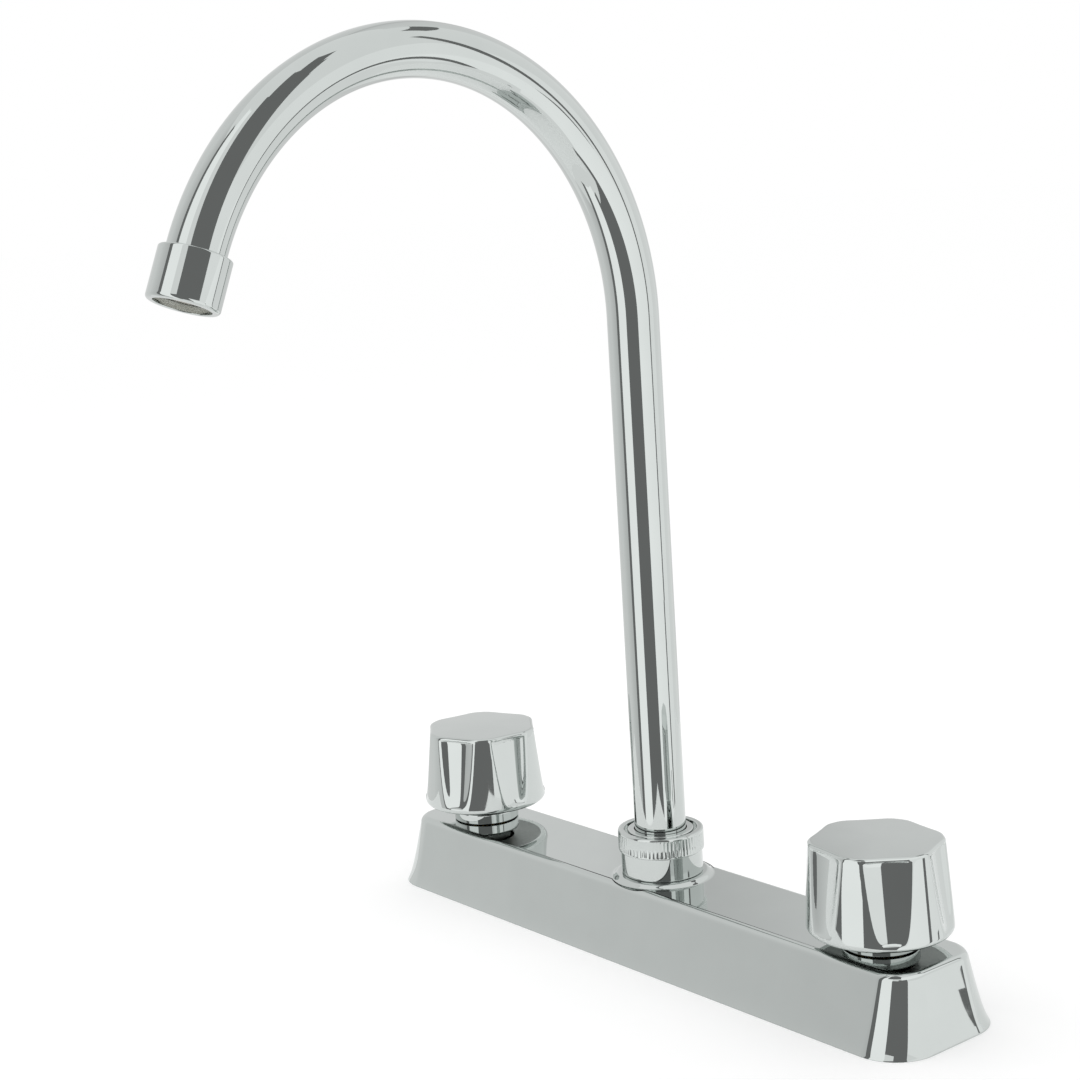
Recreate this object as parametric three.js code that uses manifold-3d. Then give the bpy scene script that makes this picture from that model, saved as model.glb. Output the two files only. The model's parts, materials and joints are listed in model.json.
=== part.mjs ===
// Two handle kitchen faucet: a long chromed deck cover over a brass waterway,
// a swivelling gooseneck spout on a knurled coupling nut, and two fluted knobs
// on quarter-turn ceramic valves.
// Millimetres, +Z up. z = 0 is the sink deck, -Y is the front, where the user stands,
// the hot side is -X and the cold side is +X.

import * as THREE from 'three';
import { mergeVertices } from 'three/addons/utils/BufferGeometryUtils.js';
import Module from 'manifold-3d';

const wasm = await Module();
wasm.setup();

// ---------------------------------------------------------------- driving dimensions

const fit = {
  seat: 0.3,      // left between two faces that bear on each other
  slide: 0.3,     // radial clearance of threads, sockets and turning fits
  seal: 0.2,      // left around the O-rings
};

const facets = {
  seen: 32,
  hidden: 16,
  corner: 5,
  tube: 24,
  spoutArc: 22,
};

const cover = {
  length: 262,
  valveInset: 29.4,    // from each end in to the axis of its valve
  width: 54,
  height: 24.8,
  cornerRadius: 16,
  endDraft: 4.5,         // how far each end leans in by the top
  sideDraft: 8.6,      // how far each long side leans in by the top
  cornerDraft: 6,      // how much the plan corners tighten by the top
  edgeFillet: 2.2,
  wall: 2,
  flareReach: 4,       // height over which the foot of the walls flares out
  flareShare: 0.22,    // share of the draft that the flare takes
};

const pad = {
  radius: 16.6,        // round pad under the coupling nut
  height: 1.4,
  flare: 1.5,
};

const basePlate = {
  thickness: 3,
};

const valveBody = {
  radius: 13,
  spigotRadius: 11,    // foot that comes down through the base plate
  neckRadius: 10,
  inletRadius: 9.3,    // half-inch pipe thread, minor size
  seatWeb: 2,
  seatOpening: 3.6,
  boreRadius: 7.6,
};

const coverNut = {
  radius: 12.5,
  height: 4.3,
  chamfer: 0.6,
};

const cartridge = {
  hexAcross: 16.5,
  hexHeight: 3.8,
  sleeveRadius: 6,
  sleeveHeight: 5.5,
  cupWall: 1.1,
  windowRadius: 2.6,
};

const disc = {
  thickness: 1.8,
  portRadius: 1.7,
  portOffset: 3,
  sealThickness: 1.6,
};

const spindle = {
  radius: 4,
  footThickness: 1.7,
  splineTeeth: 20,
  splineDepth: 0.4,
  splineLength: 13.5,
  topClearance: 1.6,   // from the spindle's end to the end of the insert's bore
  ringSection: 1.5,
  ringRise: 3.5,       // from the spindle's foot to its O-ring
};

const knob = {
  height: 29.6,
  lift: 5.4,           // from the cover's top to the knob's lower edge
  rimRadius: 23.7,
  crownRadius: 21.9,
  rimRound: 1.9,
  crownFillet: 1.8,
  crownDome: 0.35,
  flutes: 6,
  fluteDepth: 3,
  fluteTopRadius: 20,  // radius of the hollow across a flute at the top
  fluteFootRadius: 12, // the same at the lower edge
  fluteEnd: 2.4,       // height at which the flutes run out above the lower edge
  fluteRunOut: 0.36,   // how steeply a flute deepens from its lower end
  wall: 2.2,
  topWall: 3.2,
  hubRadius: 9.6,
  hubReach: 15.5,      // how far the hub hangs below the inside of the top
};

const insert = {
  radius: 7.5,
  length: 13,
  gripWidth: 1.5,
  gripDepth: 0.9,
};

const restTurn = {
  spout: 4,            // degrees, as the photograph shows them
  hotKnob: 23,
  coldKnob: -9.6,
};

const restRise = {
  hotKnob: 1.8,        // this knob isn't pressed fully down on its splines
  coldKnob: 0,
};

const hub = {
  radius: 12,
  neckRadius: 11.6,
  neckHeight: 9.9,     // above the cover's top
  socketRadius: 8.4,
  socketDepth: 8.2,
  boreRadius: 5.5,
};

const crossover = {
  radius: 4,
  wall: 0.9,
  headroom: 0.8,       // left under the cover's top
  rise: 4,             // centre line above the valve seat
  insertion: 3.6,
};

const spout = {
  radius: 9.15,
  wall: 1,
  straight: 185.1,
  bendRadius: 93.8,
  sweep: 158,          // degrees of bend
  tip: 2,              // straight end beyond the bend
};

const foot = {
  flangeThickness: 2.4,
  flangeRadius: 11.3,
  spigotGrip: 4.4,     // length soldered into a tube end
  boreRadius: 5.2,
  grooveDepth: 1.5,
  grooveWidth: 1.9,
  ringPitch: 3.6,
};

const glideWasher = {
  thickness: 0.7,
};

const couplingNut = {
  radius: 15.2,
  shankRadius: 14.5,
  shankHeight: 7.9,
  knurlHeight: 7.4,
  knurls: 30,
  knurlDepth: 0.35,
  flangeThickness: 1.3,
  recessRadius: 13,
  edge: 0.7,
};

const trimRing = {
  radius: 11.8,
  height: 1.4,
  chamfer: 0.4,
};

const aerator = {
  radius: 11.25,
  length: 16.6,
  wall: 1.25,
  lip: 1.1,
  edge: 1.2,
  adapterFlange: 4.4,
  washerThickness: 1.6,
  holes: 19,
  holeRadius: 0.85,
  holePitch: 3.1,
  plate: 1.4,
  screen: 0.6,
  screenHoles: 7,
  screenHoleRadius: 1.9,
  screenHolePitch: 5.4,
};

// ---------------------------------------------------------------- places worked out

const valveSpacing = cover.length - 2 * cover.valveInset;
const coverTop = cover.height;
const coverUnder = cover.height - cover.wall;
const castingFoot = basePlate.thickness + fit.seat;
const castingShoulder = coverUnder - fit.seat;
const waterLine = coverUnder - crossover.headroom - crossover.radius;
const seatTop = waterLine - crossover.rise;
const inletTop = seatTop - valveBody.seatWeb;
const neckTop = coverTop + coverNut.height;
const knobFoot = coverTop + knob.lift;
const knobTop = knobFoot + knob.height;
const knobCeiling = knobTop - knob.topWall;
const insertTop = knobCeiling - fit.seat;
const insertFoot = insertTop - insert.length;
const spindleTop = insertTop - spindle.topClearance;
const padTop = coverTop + pad.height;
const hubTop = coverTop + hub.neckHeight;
const hubFloor = hubTop - hub.socketDepth;
const washerFoot = hubTop + fit.seat;
const flangeFoot = washerFoot + glideWasher.thickness + fit.seat;
const flangeTop = flangeFoot + foot.flangeThickness;
const tubeFoot = flangeTop + fit.seat;
const nutFoot = padTop + fit.seat;
const nutFlangeUnder = flangeTop + fit.seat;
const nutFlangeTop = nutFlangeUnder + couplingNut.flangeThickness;
const nutTop = nutFoot + couplingNut.shankHeight + couplingNut.knurlHeight;
const bendCentre = tubeFoot + spout.straight;

// ---------------------------------------------------------------- materials

function finish(color, roughness, metalness) {
  return new THREE.MeshStandardMaterial({ color, roughness, metalness });
}

const chrome = () => finish(0xc6cac8, 0.06, 1);
const brass = () => finish(0xb5924c, 0.35, 1);
const copper = () => finish(0xb8754f, 0.35, 1);
const steel = () => finish(0xaeb1b3, 0.3, 1);
const ceramic = () => finish(0xf2efe6, 0.3, 0);
const rubber = () => finish(0x1d1d1e, 0.85, 0);
const blackPlastic = () => finish(0x2b2c2e, 0.6, 0);
const whitePlastic = () => finish(0xe6e3da, 0.5, 0);

// ---------------------------------------------------------------- shape helpers

function signedVolume(geometry) {
  const place = geometry.getAttribute('position');
  const index = geometry.getIndex();
  const corner = (i) => new THREE.Vector3().fromBufferAttribute(place, index.getX(i));
  let volume = 0;
  for (let i = 0; i < index.count; i += 3) {
    volume += corner(i).dot(corner(i + 1).cross(corner(i + 2))) / 6;
  }
  return volume;
}

// One welded surface that faces outwards.
function weld(geometry) {
  const bare = geometry.clone();
  bare.deleteAttribute('normal');
  bare.deleteAttribute('uv');
  const welded = mergeVertices(bare, 1e-4);
  if (signedVolume(welded) < 0) {
    const index = welded.getIndex();
    for (let i = 0; i < index.count; i += 3) {
      const first = index.getX(i);
      index.setX(i, index.getX(i + 1));
      index.setX(i + 1, first);
    }
  }
  return welded;
}

function toManifold(geometry) {
  const welded = weld(geometry);
  const mesh = new wasm.Mesh({
    numProp: 3,
    vertProperties: new Float32Array(welded.getAttribute('position').array),
    triVerts: new Uint32Array(welded.getIndex().array),
  });
  return new wasm.Manifold(mesh);
}

function fromManifold(solid) {
  const mesh = solid.getMesh();
  const geometry = new THREE.BufferGeometry();
  geometry.setAttribute('position', new THREE.BufferAttribute(mesh.vertProperties, 3));
  geometry.setIndex(new THREE.BufferAttribute(mesh.triVerts, 1));
  return geometry;
}

function cut(geometry, ...tools) {
  const solid = tools.reduce((body, tool) => body.subtract(toManifold(tool)), toManifold(geometry));
  return fromManifold(solid);
}

function join(geometry, ...others) {
  const solid = others.reduce((body, other) => body.add(toManifold(other)), toManifold(geometry));
  return fromManifold(solid);
}

// A turned solid about Z from [radius, z] pairs that start and end on the axis.
function turned(profile, segments) {
  const points = profile.map(([radius, z]) => new THREE.Vector2(radius, z));
  return new THREE.LatheGeometry(points, segments).rotateX(Math.PI / 2);
}

// A turned ring about Z from [radius, z] pairs that go once round its section.
function turnedRing(profile, segments) {
  return turned([...profile, profile[0]], segments);
}

function plug(radius, from, to, segments = facets.hidden) {
  return turned([[0, from], [radius, from], [radius, to], [0, to]], segments);
}

function washer(inner, outer, from, to, segments = facets.hidden) {
  return turnedRing([[inner, from], [outer, from], [outer, to], [inner, to]], segments);
}

function hexPrism(across, from, to) {
  const prism = new THREE.CylinderGeometry(across / Math.sqrt(3), across / Math.sqrt(3), to - from, 6);
  return prism.rotateX(Math.PI / 2).translate(0, 0, (from + to) / 2);
}

// A round bar or hole along X.
function barAlongX(radius, from, to, z) {
  return plug(radius, from, to).rotateY(Math.PI / 2).translate(0, 0, z);
}

// A solid through a stack of rings with equal counts of points, closed by a fan at each end.
function lofted(rings) {
  const count = rings[0].length;
  const points = rings.flat();
  const centre = (ring) => ring.reduce((sum, p) => sum.add(p), new THREE.Vector3()).divideScalar(count);
  points.push(centre(rings[0]), centre(rings.at(-1)));
  const faces = [];
  for (let level = 0; level < rings.length - 1; level += 1) {
    for (let i = 0; i < count; i += 1) {
      const a = level * count + i;
      const b = level * count + (i + 1) % count;
      faces.push(a, b, b + count, a, b + count, a + count);
    }
  }
  const last = (rings.length - 1) * count;
  for (let i = 0; i < count; i += 1) {
    const next = (i + 1) % count;
    faces.push(points.length - 2, next, i);
    faces.push(points.length - 1, last + i, last + next);
  }
  const geometry = new THREE.BufferGeometry().setFromPoints(points);
  geometry.setIndex(faces);
  return geometry;
}

function roundedRectangle(length, width, radius, z) {
  const ring = [];
  for (const [sx, sy, start] of [[1, 1, 0], [-1, 1, 90], [-1, -1, 180], [1, -1, 270]]) {
    const centreX = sx * (length / 2 - radius);
    const centreY = sy * (width / 2 - radius);
    for (let i = 0; i <= facets.corner; i += 1) {
      const angle = THREE.MathUtils.degToRad(start + (90 * i) / facets.corner);
      ring.push(new THREE.Vector3(centreX + radius * Math.cos(angle), centreY + radius * Math.sin(angle), z));
    }
  }
  return ring;
}

function toothedShape(radius, depth, teeth) {
  const shape = new THREE.Shape();
  for (let i = 0; i < teeth * 2; i += 1) {
    const angle = (Math.PI * i) / teeth;
    const reach = i % 2 ? radius - depth : radius;
    const point = [reach * Math.cos(angle), reach * Math.sin(angle)];
    if (i) shape.lineTo(...point);
    else shape.moveTo(...point);
  }
  shape.closePath();
  return shape;
}

function splineBar(radius, from, to) {
  const shape = toothedShape(radius, spindle.splineDepth, spindle.splineTeeth);
  return new THREE.ExtrudeGeometry(shape, { depth: to - from, bevelEnabled: false }).translate(0, 0, from);
}

function mesh(name, geometry, material) {
  const made = new THREE.Mesh(weld(geometry), material);
  made.name = name;
  return made;
}

// ---------------------------------------------------------------- deck cover and base plate

// Share of the wall's full draft at a height: a concave flare at the foot, then straight.
function draftAt(z) {
  const straight = z / cover.height;
  const flare = cover.flareShare * (1 - Math.exp(-z / cover.flareReach));
  return straight * (1 - cover.flareShare) + flare;
}

function coverRing(z, inset) {
  const draft = draftAt(z);
  return roundedRectangle(
    cover.length - 2 * (draft * cover.endDraft + inset),
    cover.width - 2 * (draft * cover.sideDraft + inset),
    Math.max(cover.cornerRadius - draft * cover.cornerDraft - inset, 1),
    z,
  );
}

function coverSolid() {
  const rings = [0, 0.08, 0.18, 0.36, 0.62].map((share) => coverRing(share * cover.height, 0));
  const fillet = cover.edgeFillet;
  for (const angle of [0, 30, 60, 90]) {
    const turn = THREE.MathUtils.degToRad(angle);
    rings.push(coverRing(coverTop - fillet * (1 - Math.sin(turn)), fillet * (1 - Math.cos(turn))));
  }
  return lofted(rings);
}

function coverHollow() {
  const levels = [0, 0.18, 0.36, 0.62, 1].map((share) => share * coverUnder);
  const rings = levels.map((z) => coverRing(z, cover.wall));
  rings.unshift(coverRing(0, cover.wall).map((p) => p.setZ(-1)));
  return lofted(rings);
}

function padSolid() {
  const profile = [[0, coverTop - cover.wall / 2], [pad.radius + pad.flare, coverTop - cover.wall / 2]];
  for (const angle of [0, 30, 60, 90]) {
    const turn = THREE.MathUtils.degToRad(angle);
    profile.push([
      pad.radius + pad.flare * (1 - Math.sin(turn)),
      coverTop + pad.flare * (1 - Math.cos(turn)),
    ]);
  }
  profile.push([pad.radius, padTop], [0, padTop]);
  return turned(profile, facets.seen);
}

function makeCover() {
  const holes = [plug(hub.neckRadius + fit.slide, coverUnder - 1, padTop + 1, facets.seen)];
  for (const side of [-1, 1]) {
    const hole = plug(valveBody.neckRadius + fit.slide, coverUnder - 1, coverTop + 1);
    holes.push(hole.translate((side * valveSpacing) / 2, 0, 0));
  }
  const shell = cut(coverSolid(), coverHollow());
  return mesh('deck_cover', cut(join(shell, padSolid()), ...holes), chrome());
}

function makeBasePlate() {
  const inset = cover.wall + fit.slide;
  const spigotOpening = valveBody.spigotRadius + fit.slide;
  const plate = lofted([0, basePlate.thickness].map((z) => coverRing(z, inset + 0.02 * z)));
  const openings = [-1, 1].map((side) => plug(spigotOpening, -1, basePlate.thickness + 1)
    .translate((side * valveSpacing) / 2, 0, 0));
  return mesh('base_plate', cut(plate, ...openings), blackPlastic());
}

// ---------------------------------------------------------------- valves, one at each end

const cartridgeFoot = seatTop + fit.seat;
const cupRadius = valveBody.boreRadius - fit.slide;
const packRadius = cupRadius - cartridge.cupWall - fit.slide;
const sealFoot = cartridgeFoot;
const fixedDiscFoot = sealFoot + disc.sealThickness + fit.seat;
const turningDiscFoot = fixedDiscFoot + disc.thickness + fit.seat;
const spindleFoot = turningDiscFoot + disc.thickness + fit.seat;
const cupTop = spindleFoot + spindle.footThickness + fit.seat;
const ringFoot = spindleFoot + spindle.footThickness + spindle.ringRise;

function makeValveBody(name, side) {
  const body = valveBody;
  const outside = turned([
    [0, 0],
    [body.spigotRadius, 0],
    [body.spigotRadius, castingFoot],
    [body.radius, castingFoot],
    [body.radius, castingShoulder],
    [body.neckRadius, castingShoulder],
    [body.neckRadius, neckTop],
    [0, neckTop],
  ], facets.hidden);
  const inlet = plug(body.inletRadius, -1, inletTop);
  const seat = plug(body.seatOpening, inletTop - 1, seatTop + 1);
  const bore = plug(body.boreRadius, seatTop, neckTop + 1);
  const inwards = -side;
  const socketFrom = body.radius - crossover.insertion;
  const socket = barAlongX(crossover.radius + fit.slide, inwards * socketFrom, inwards * (body.radius + 1), waterLine);
  const port = barAlongX(crossover.radius - crossover.wall, 0, inwards * body.radius, waterLine);
  return mesh(name, cut(outside, inlet, seat, bore, socket, port), brass());
}

function makeCoverNut(name) {
  const from = coverTop + fit.seat;
  const to = coverTop + coverNut.height;
  const inner = valveBody.neckRadius + fit.slide;
  const ring = turnedRing([
    [inner, from],
    [coverNut.radius, from],
    [coverNut.radius, to - coverNut.chamfer],
    [coverNut.radius - coverNut.chamfer, to],
    [inner, to],
  ], facets.seen);
  return mesh(name, ring, chrome());
}

function makeCartridge(name, side) {
  const flangeFootZ = neckTop + fit.seat;
  const hexTop = flangeFootZ + cartridge.hexHeight;
  const sleeveTop = hexTop + cartridge.sleeveHeight;
  const barrel = turned([
    [0, cartridgeFoot],
    [cupRadius, cartridgeFoot],
    [cupRadius, flangeFootZ],
    [cartridge.sleeveRadius, flangeFootZ],
    [cartridge.sleeveRadius, sleeveTop],
    [0, sleeveTop],
  ], facets.hidden);
  const hex = hexPrism(cartridge.hexAcross, flangeFootZ, hexTop);
  const hollow = turned([
    [0, cartridgeFoot - 1],
    [packRadius + fit.slide, cartridgeFoot - 1],
    [packRadius + fit.slide, cupTop],
    [spindle.radius + fit.slide, cupTop],
    [spindle.radius + fit.slide, sleeveTop + 1],
    [0, sleeveTop + 1],
  ], facets.hidden);
  const window = barAlongX(cartridge.windowRadius, 0, -side * (cupRadius + 1), waterLine);
  return mesh(name, cut(join(barrel, hex), hollow, window), brass());
}

function portPair(from, to) {
  return [-1, 1].map((side) => plug(disc.portRadius, from - 1, to + 1, 12)
    .translate(side * disc.portOffset, 0, 0));
}

function makeDisc(name, footZ) {
  const plate = plug(packRadius, footZ, footZ + disc.thickness);
  return mesh(name, cut(plate, ...portPair(footZ, footZ + disc.thickness)), ceramic());
}

function makeSeatSeal(name) {
  const inner = disc.portOffset + disc.portRadius * 0.4;
  return mesh(name, washer(inner, packRadius, sealFoot, sealFoot + disc.sealThickness), rubber());
}

function makeSpindle(name) {
  const splineFoot = spindleTop - spindle.splineLength;
  const groove = spindle.radius - spindle.ringSection / 2 - fit.seal;
  const shaft = turned([
    [0, spindleFoot],
    [packRadius, spindleFoot],
    [packRadius, spindleFoot + spindle.footThickness],
    [spindle.radius, spindleFoot + spindle.footThickness],
    [spindle.radius, ringFoot - fit.seal],
    [groove, ringFoot - fit.seal],
    [groove, ringFoot + spindle.ringSection + fit.seal],
    [spindle.radius, ringFoot + spindle.ringSection + fit.seal],
    [spindle.radius, splineFoot],
    [spindle.radius - spindle.splineDepth, splineFoot],
    [spindle.radius - spindle.splineDepth, splineFoot + 1],
    [0, splineFoot + 1],
  ], facets.hidden);
  return mesh(name, join(shaft, splineBar(spindle.radius, splineFoot, spindleTop)), brass());
}

// A rubber ring whose round section has six sides.
function sealRing(inner, outer, footZ) {
  const radius = (outer - inner) / 2;
  const section = [];
  for (let i = 0; i < 6; i += 1) {
    const angle = THREE.MathUtils.degToRad(60 * i);
    section.push([inner + radius + radius * Math.cos(angle), footZ + radius + radius * Math.sin(angle)]);
  }
  return turnedRing(section, facets.hidden);
}

function makeSpindleRing(name) {
  const inner = spindle.radius - spindle.ringSection / 2;
  const outer = spindle.radius + fit.slide - fit.seal;
  return mesh(name, sealRing(inner, outer, ringFoot), rubber());
}

// ---------------------------------------------------------------- knobs

function coneRadius(z) {
  return THREE.MathUtils.mapLinear(z, knobFoot, knobTop, knob.rimRadius, knob.crownRadius);
}

function fluteDepthAt(z) {
  const run = (z - knobFoot - knob.fluteEnd) / (knob.height - knob.fluteEnd);
  return knob.fluteDepth * Math.max(run, 0) ** knob.fluteRunOut;
}

function fluteRadiusAt(z) {
  return THREE.MathUtils.mapLinear(z, knobFoot, knobTop, knob.fluteFootRadius, knob.fluteTopRadius);
}

// Half of the angle that a flute takes at a height, from where its hollow meets the cone.
function fluteHalfAngle(z) {
  const radius = coneRadius(z);
  const hollow = fluteRadiusAt(z);
  const centre = radius - fluteDepthAt(z) + hollow;
  const cosine = (radius ** 2 + centre ** 2 - hollow ** 2) / (2 * radius * centre);
  return Math.max(Math.acos(Math.min(cosine, 1)), THREE.MathUtils.degToRad(1.5));
}

// Radius of the fluted wall at an angle from the middle of the nearest flute.
function flutedRadius(z, angle) {
  const radius = coneRadius(z);
  const depth = fluteDepthAt(z);
  if (depth === 0 || Math.abs(angle) >= fluteHalfAngle(z)) return radius;
  const centre = radius - depth + fluteRadiusAt(z);
  const reach = Math.sqrt(fluteRadiusAt(z) ** 2 - (centre * Math.sin(angle)) ** 2);
  return centre * Math.cos(angle) - reach;
}

// The angles of one ridge and one flute, so that points follow the crease between them.
function sectorAngles(z) {
  const half = fluteHalfAngle(z);
  const pitch = (2 * Math.PI) / knob.flutes;
  const angles = [];
  for (const share of [-1, -0.6, -0.2, 0.2, 0.6]) angles.push(half * share);
  for (const share of [0, 0.33, 0.67]) angles.push(half + (pitch - 2 * half) * share);
  return angles;
}

function knobRing(z, inset) {
  const ring = [];
  const pitch = (2 * Math.PI) / knob.flutes;
  for (let sector = 0; sector < knob.flutes; sector += 1) {
    for (const angle of sectorAngles(z)) {
      const fromFlute = angle > pitch / 2 ? angle - pitch : angle;
      const reach = flutedRadius(z, fromFlute) - inset;
      const turn = (sector + 0.5) * pitch + angle;
      ring.push(new THREE.Vector3(reach * Math.cos(turn), reach * Math.sin(turn), z));
    }
  }
  return ring;
}

function knobOutside() {
  const rings = [];
  for (const angle of [0, 45, 90]) {
    const turn = THREE.MathUtils.degToRad(angle);
    rings.push(knobRing(knobFoot + knob.rimRound * (1 - Math.cos(turn)), knob.rimRound * (1 - Math.sin(turn))));
  }
  for (const share of [0, 0.03, 0.12, 0.36, 0.68]) {
    rings.push(knobRing(knobFoot + knob.fluteEnd + share * (knob.height - knob.fluteEnd), 0));
  }
  const crown = knobTop - knob.crownDome;
  for (const angle of [0, 45, 90]) {
    const turn = THREE.MathUtils.degToRad(angle);
    rings.push(knobRing(crown - knob.crownFillet * (1 - Math.sin(turn)), knob.crownFillet * (1 - Math.cos(turn))));
  }
  rings.push(knobRing(crown, 0).map((p) => new THREE.Vector3(p.x * 0.45, p.y * 0.45, knobTop)));
  return lofted(rings);
}

function makeKnob(name) {
  const rimHollow = knob.rimRadius - knob.rimRound - knob.wall * 0.4;
  const crownHollow = knob.crownRadius - knob.fluteDepth - knob.wall;
  const hubFoot = knobCeiling - knob.hubReach;
  const hollow = turned([
    [0, knobFoot - 1],
    [rimHollow, knobFoot - 1],
    [rimHollow, knobFoot],
    [crownHollow, knobCeiling],
    [knob.hubRadius, knobCeiling],
    [knob.hubRadius, hubFoot],
    [insert.radius + fit.slide, hubFoot],
    [insert.radius + fit.slide, knobCeiling],
    [0, knobCeiling],
  ], facets.hidden);
  return mesh(name, cut(knobOutside(), hollow), chrome());
}

function makeInsert(name) {
  const grooveFoot = insertFoot + insert.gripWidth;
  const grooveTop = grooveFoot + insert.gripWidth + fit.seat;
  const outside = turned([
    [0, insertFoot],
    [insert.radius, insertFoot],
    [insert.radius, grooveFoot],
    [insert.radius - insert.gripDepth, grooveFoot],
    [insert.radius - insert.gripDepth, grooveTop],
    [insert.radius, grooveTop],
    [insert.radius, insertTop],
    [0, insertTop],
  ], facets.hidden);
  const bore = splineBar(spindle.radius + fit.slide, insertFoot - 1, insertTop - spindle.topClearance / 2);
  return mesh(name, cut(outside, bore), whitePlastic());
}

function makeGripRing(name) {
  const from = insertFoot + insert.gripWidth + fit.seat / 2;
  const inner = insert.radius - insert.gripDepth + fit.seal;
  const ring = washer(inner, insert.radius, from, from + insert.gripWidth);
  return mesh(name, ring, steel());
}

function makeValve(label, side, turn, rise) {
  const station = new THREE.Group();
  station.position.x = (side * valveSpacing) / 2;
  station.add(
    makeValveBody(`valve_body_${label}`, side),
    makeCoverNut(`cover_nut_${label}`),
    makeCartridge(`cartridge_${label}`, side),
    makeSeatSeal(`seat_seal_${label}`),
    makeDisc(`fixed_disc_${label}`, fixedDiscFoot),
  );
  const turning = new THREE.Group();
  turning.rotation.z = THREE.MathUtils.degToRad(turn);
  turning.add(
    makeDisc(`turning_disc_${label}`, turningDiscFoot),
    makeSpindle(`spindle_${label}`),
    makeSpindleRing(`spindle_o_ring_${label}`),
  );
  const handle = new THREE.Group();
  handle.position.z = rise;
  handle.add(
    makeInsert(`knob_insert_${label}`),
    makeGripRing(`knob_grip_ring_${label}`),
    makeKnob(`knob_${label}`),
  );
  turning.add(handle);
  station.add(turning);
  return station;
}

// ---------------------------------------------------------------- centre outlet

function makeOutletHub() {
  const outside = turned([
    [0, castingFoot],
    [hub.radius, castingFoot],
    [hub.radius, castingShoulder],
    [hub.neckRadius, castingShoulder],
    [hub.neckRadius, hubTop],
    [0, hubTop],
  ], facets.hidden);
  const bore = plug(hub.boreRadius, waterLine - crossover.radius, hubTop);
  const socket = plug(hub.socketRadius, hubFloor, hubTop + 1);
  const tools = [bore, socket];
  for (const side of [-1, 1]) {
    const socketFrom = hub.radius - crossover.insertion;
    tools.push(barAlongX(crossover.radius + fit.slide, side * socketFrom, side * (hub.radius + 1), waterLine));
    tools.push(barAlongX(crossover.radius - crossover.wall, 0, side * hub.radius, waterLine));
  }
  return mesh('outlet_hub', cut(outside, ...tools), brass());
}

function makeCrossover(label, side) {
  const from = hub.radius - crossover.insertion + fit.seat;
  const to = valveSpacing / 2 - valveBody.radius + crossover.insertion - fit.seat;
  const tube = washer(crossover.radius - crossover.wall, crossover.radius, from, to);
  tube.rotateY(Math.PI / 2).translate(0, 0, waterLine);
  if (side < 0) tube.rotateZ(Math.PI);
  return mesh(`crossover_tube_${label}`, tube, copper());
}

// ---------------------------------------------------------------- coupling nut

function nutRing(radius, z, knurled) {
  const ring = [];
  for (let i = 0; i < couplingNut.knurls * 2; i += 1) {
    const angle = (Math.PI * i) / couplingNut.knurls;
    const reach = knurled && i % 2 ? radius - couplingNut.knurlDepth : radius;
    ring.push(new THREE.Vector3(reach * Math.cos(angle), reach * Math.sin(angle), z));
  }
  return ring;
}

function makeCouplingNut() {
  const nut = couplingNut;
  const bandFoot = nutFoot + nut.shankHeight;
  const knurlFoot = bandFoot + nut.edge;
  const knurlTop = nutTop - nut.edge;
  const outside = lofted([
    nutRing(nut.shankRadius - nut.edge / 2, nutFoot, false),
    nutRing(nut.shankRadius, nutFoot + nut.edge / 2, false),
    nutRing(nut.shankRadius, bandFoot, false),
    nutRing(nut.radius, bandFoot + 0.2, false),
    nutRing(nut.radius, knurlFoot, false),
    nutRing(nut.radius, knurlFoot + 0.2, true),
    nutRing(nut.radius, knurlTop - 0.2, true),
    nutRing(nut.radius, knurlTop, false),
    nutRing(nut.radius - nut.edge, nutTop, false),
  ]);
  const hollow = turned([
    [0, nutFoot - 1],
    [hub.neckRadius + fit.slide, nutFoot - 1],
    [hub.neckRadius + fit.slide, nutFlangeUnder],
    [spout.radius + fit.slide, nutFlangeUnder],
    [spout.radius + fit.slide, nutFlangeTop],
    [nut.recessRadius, nutFlangeTop],
    [nut.recessRadius, nutTop + 1],
    [0, nutTop + 1],
  ], facets.seen);
  return mesh('coupling_nut', cut(outside, hollow), chrome());
}

// ---------------------------------------------------------------- swivel spout

// The tube's centre line: straight up, a round bend forwards and down, a short straight tip.
class SpoutPath extends THREE.Curve {
  static straightSteps = 3;

  static steps = SpoutPath.straightSteps + facets.spoutArc + 1;

  locate(u) {
    const step = u * SpoutPath.steps;
    const sweep = THREE.MathUtils.degToRad(spout.sweep);
    if (step <= SpoutPath.straightSteps) {
      const rise = (spout.straight * step) / SpoutPath.straightSteps;
      return { angle: 0, run: 0, rise };
    }
    const bent = Math.min((step - SpoutPath.straightSteps) / facets.spoutArc, 1);
    const run = Math.max(step - SpoutPath.steps + 1, 0) * spout.tip;
    return { angle: bent * sweep, run, rise: spout.straight };
  }

  getPointAt(u) {
    const { angle, run, rise } = this.locate(u);
    const y = -spout.bendRadius * (1 - Math.cos(angle)) - run * Math.sin(angle);
    const z = tubeFoot + rise + spout.bendRadius * Math.sin(angle) + run * Math.cos(angle);
    return new THREE.Vector3(0, y, z);
  }

  getTangentAt(u) {
    const { angle } = this.locate(u);
    return new THREE.Vector3(0, -Math.sin(angle), Math.cos(angle));
  }
}

function circlePoints(radius, count) {
  const points = [];
  for (let i = 0; i < count; i += 1) {
    const angle = (2 * Math.PI * i) / count;
    points.push(new THREE.Vector2(radius * Math.cos(angle), radius * Math.sin(angle)));
  }
  return points;
}

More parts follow.
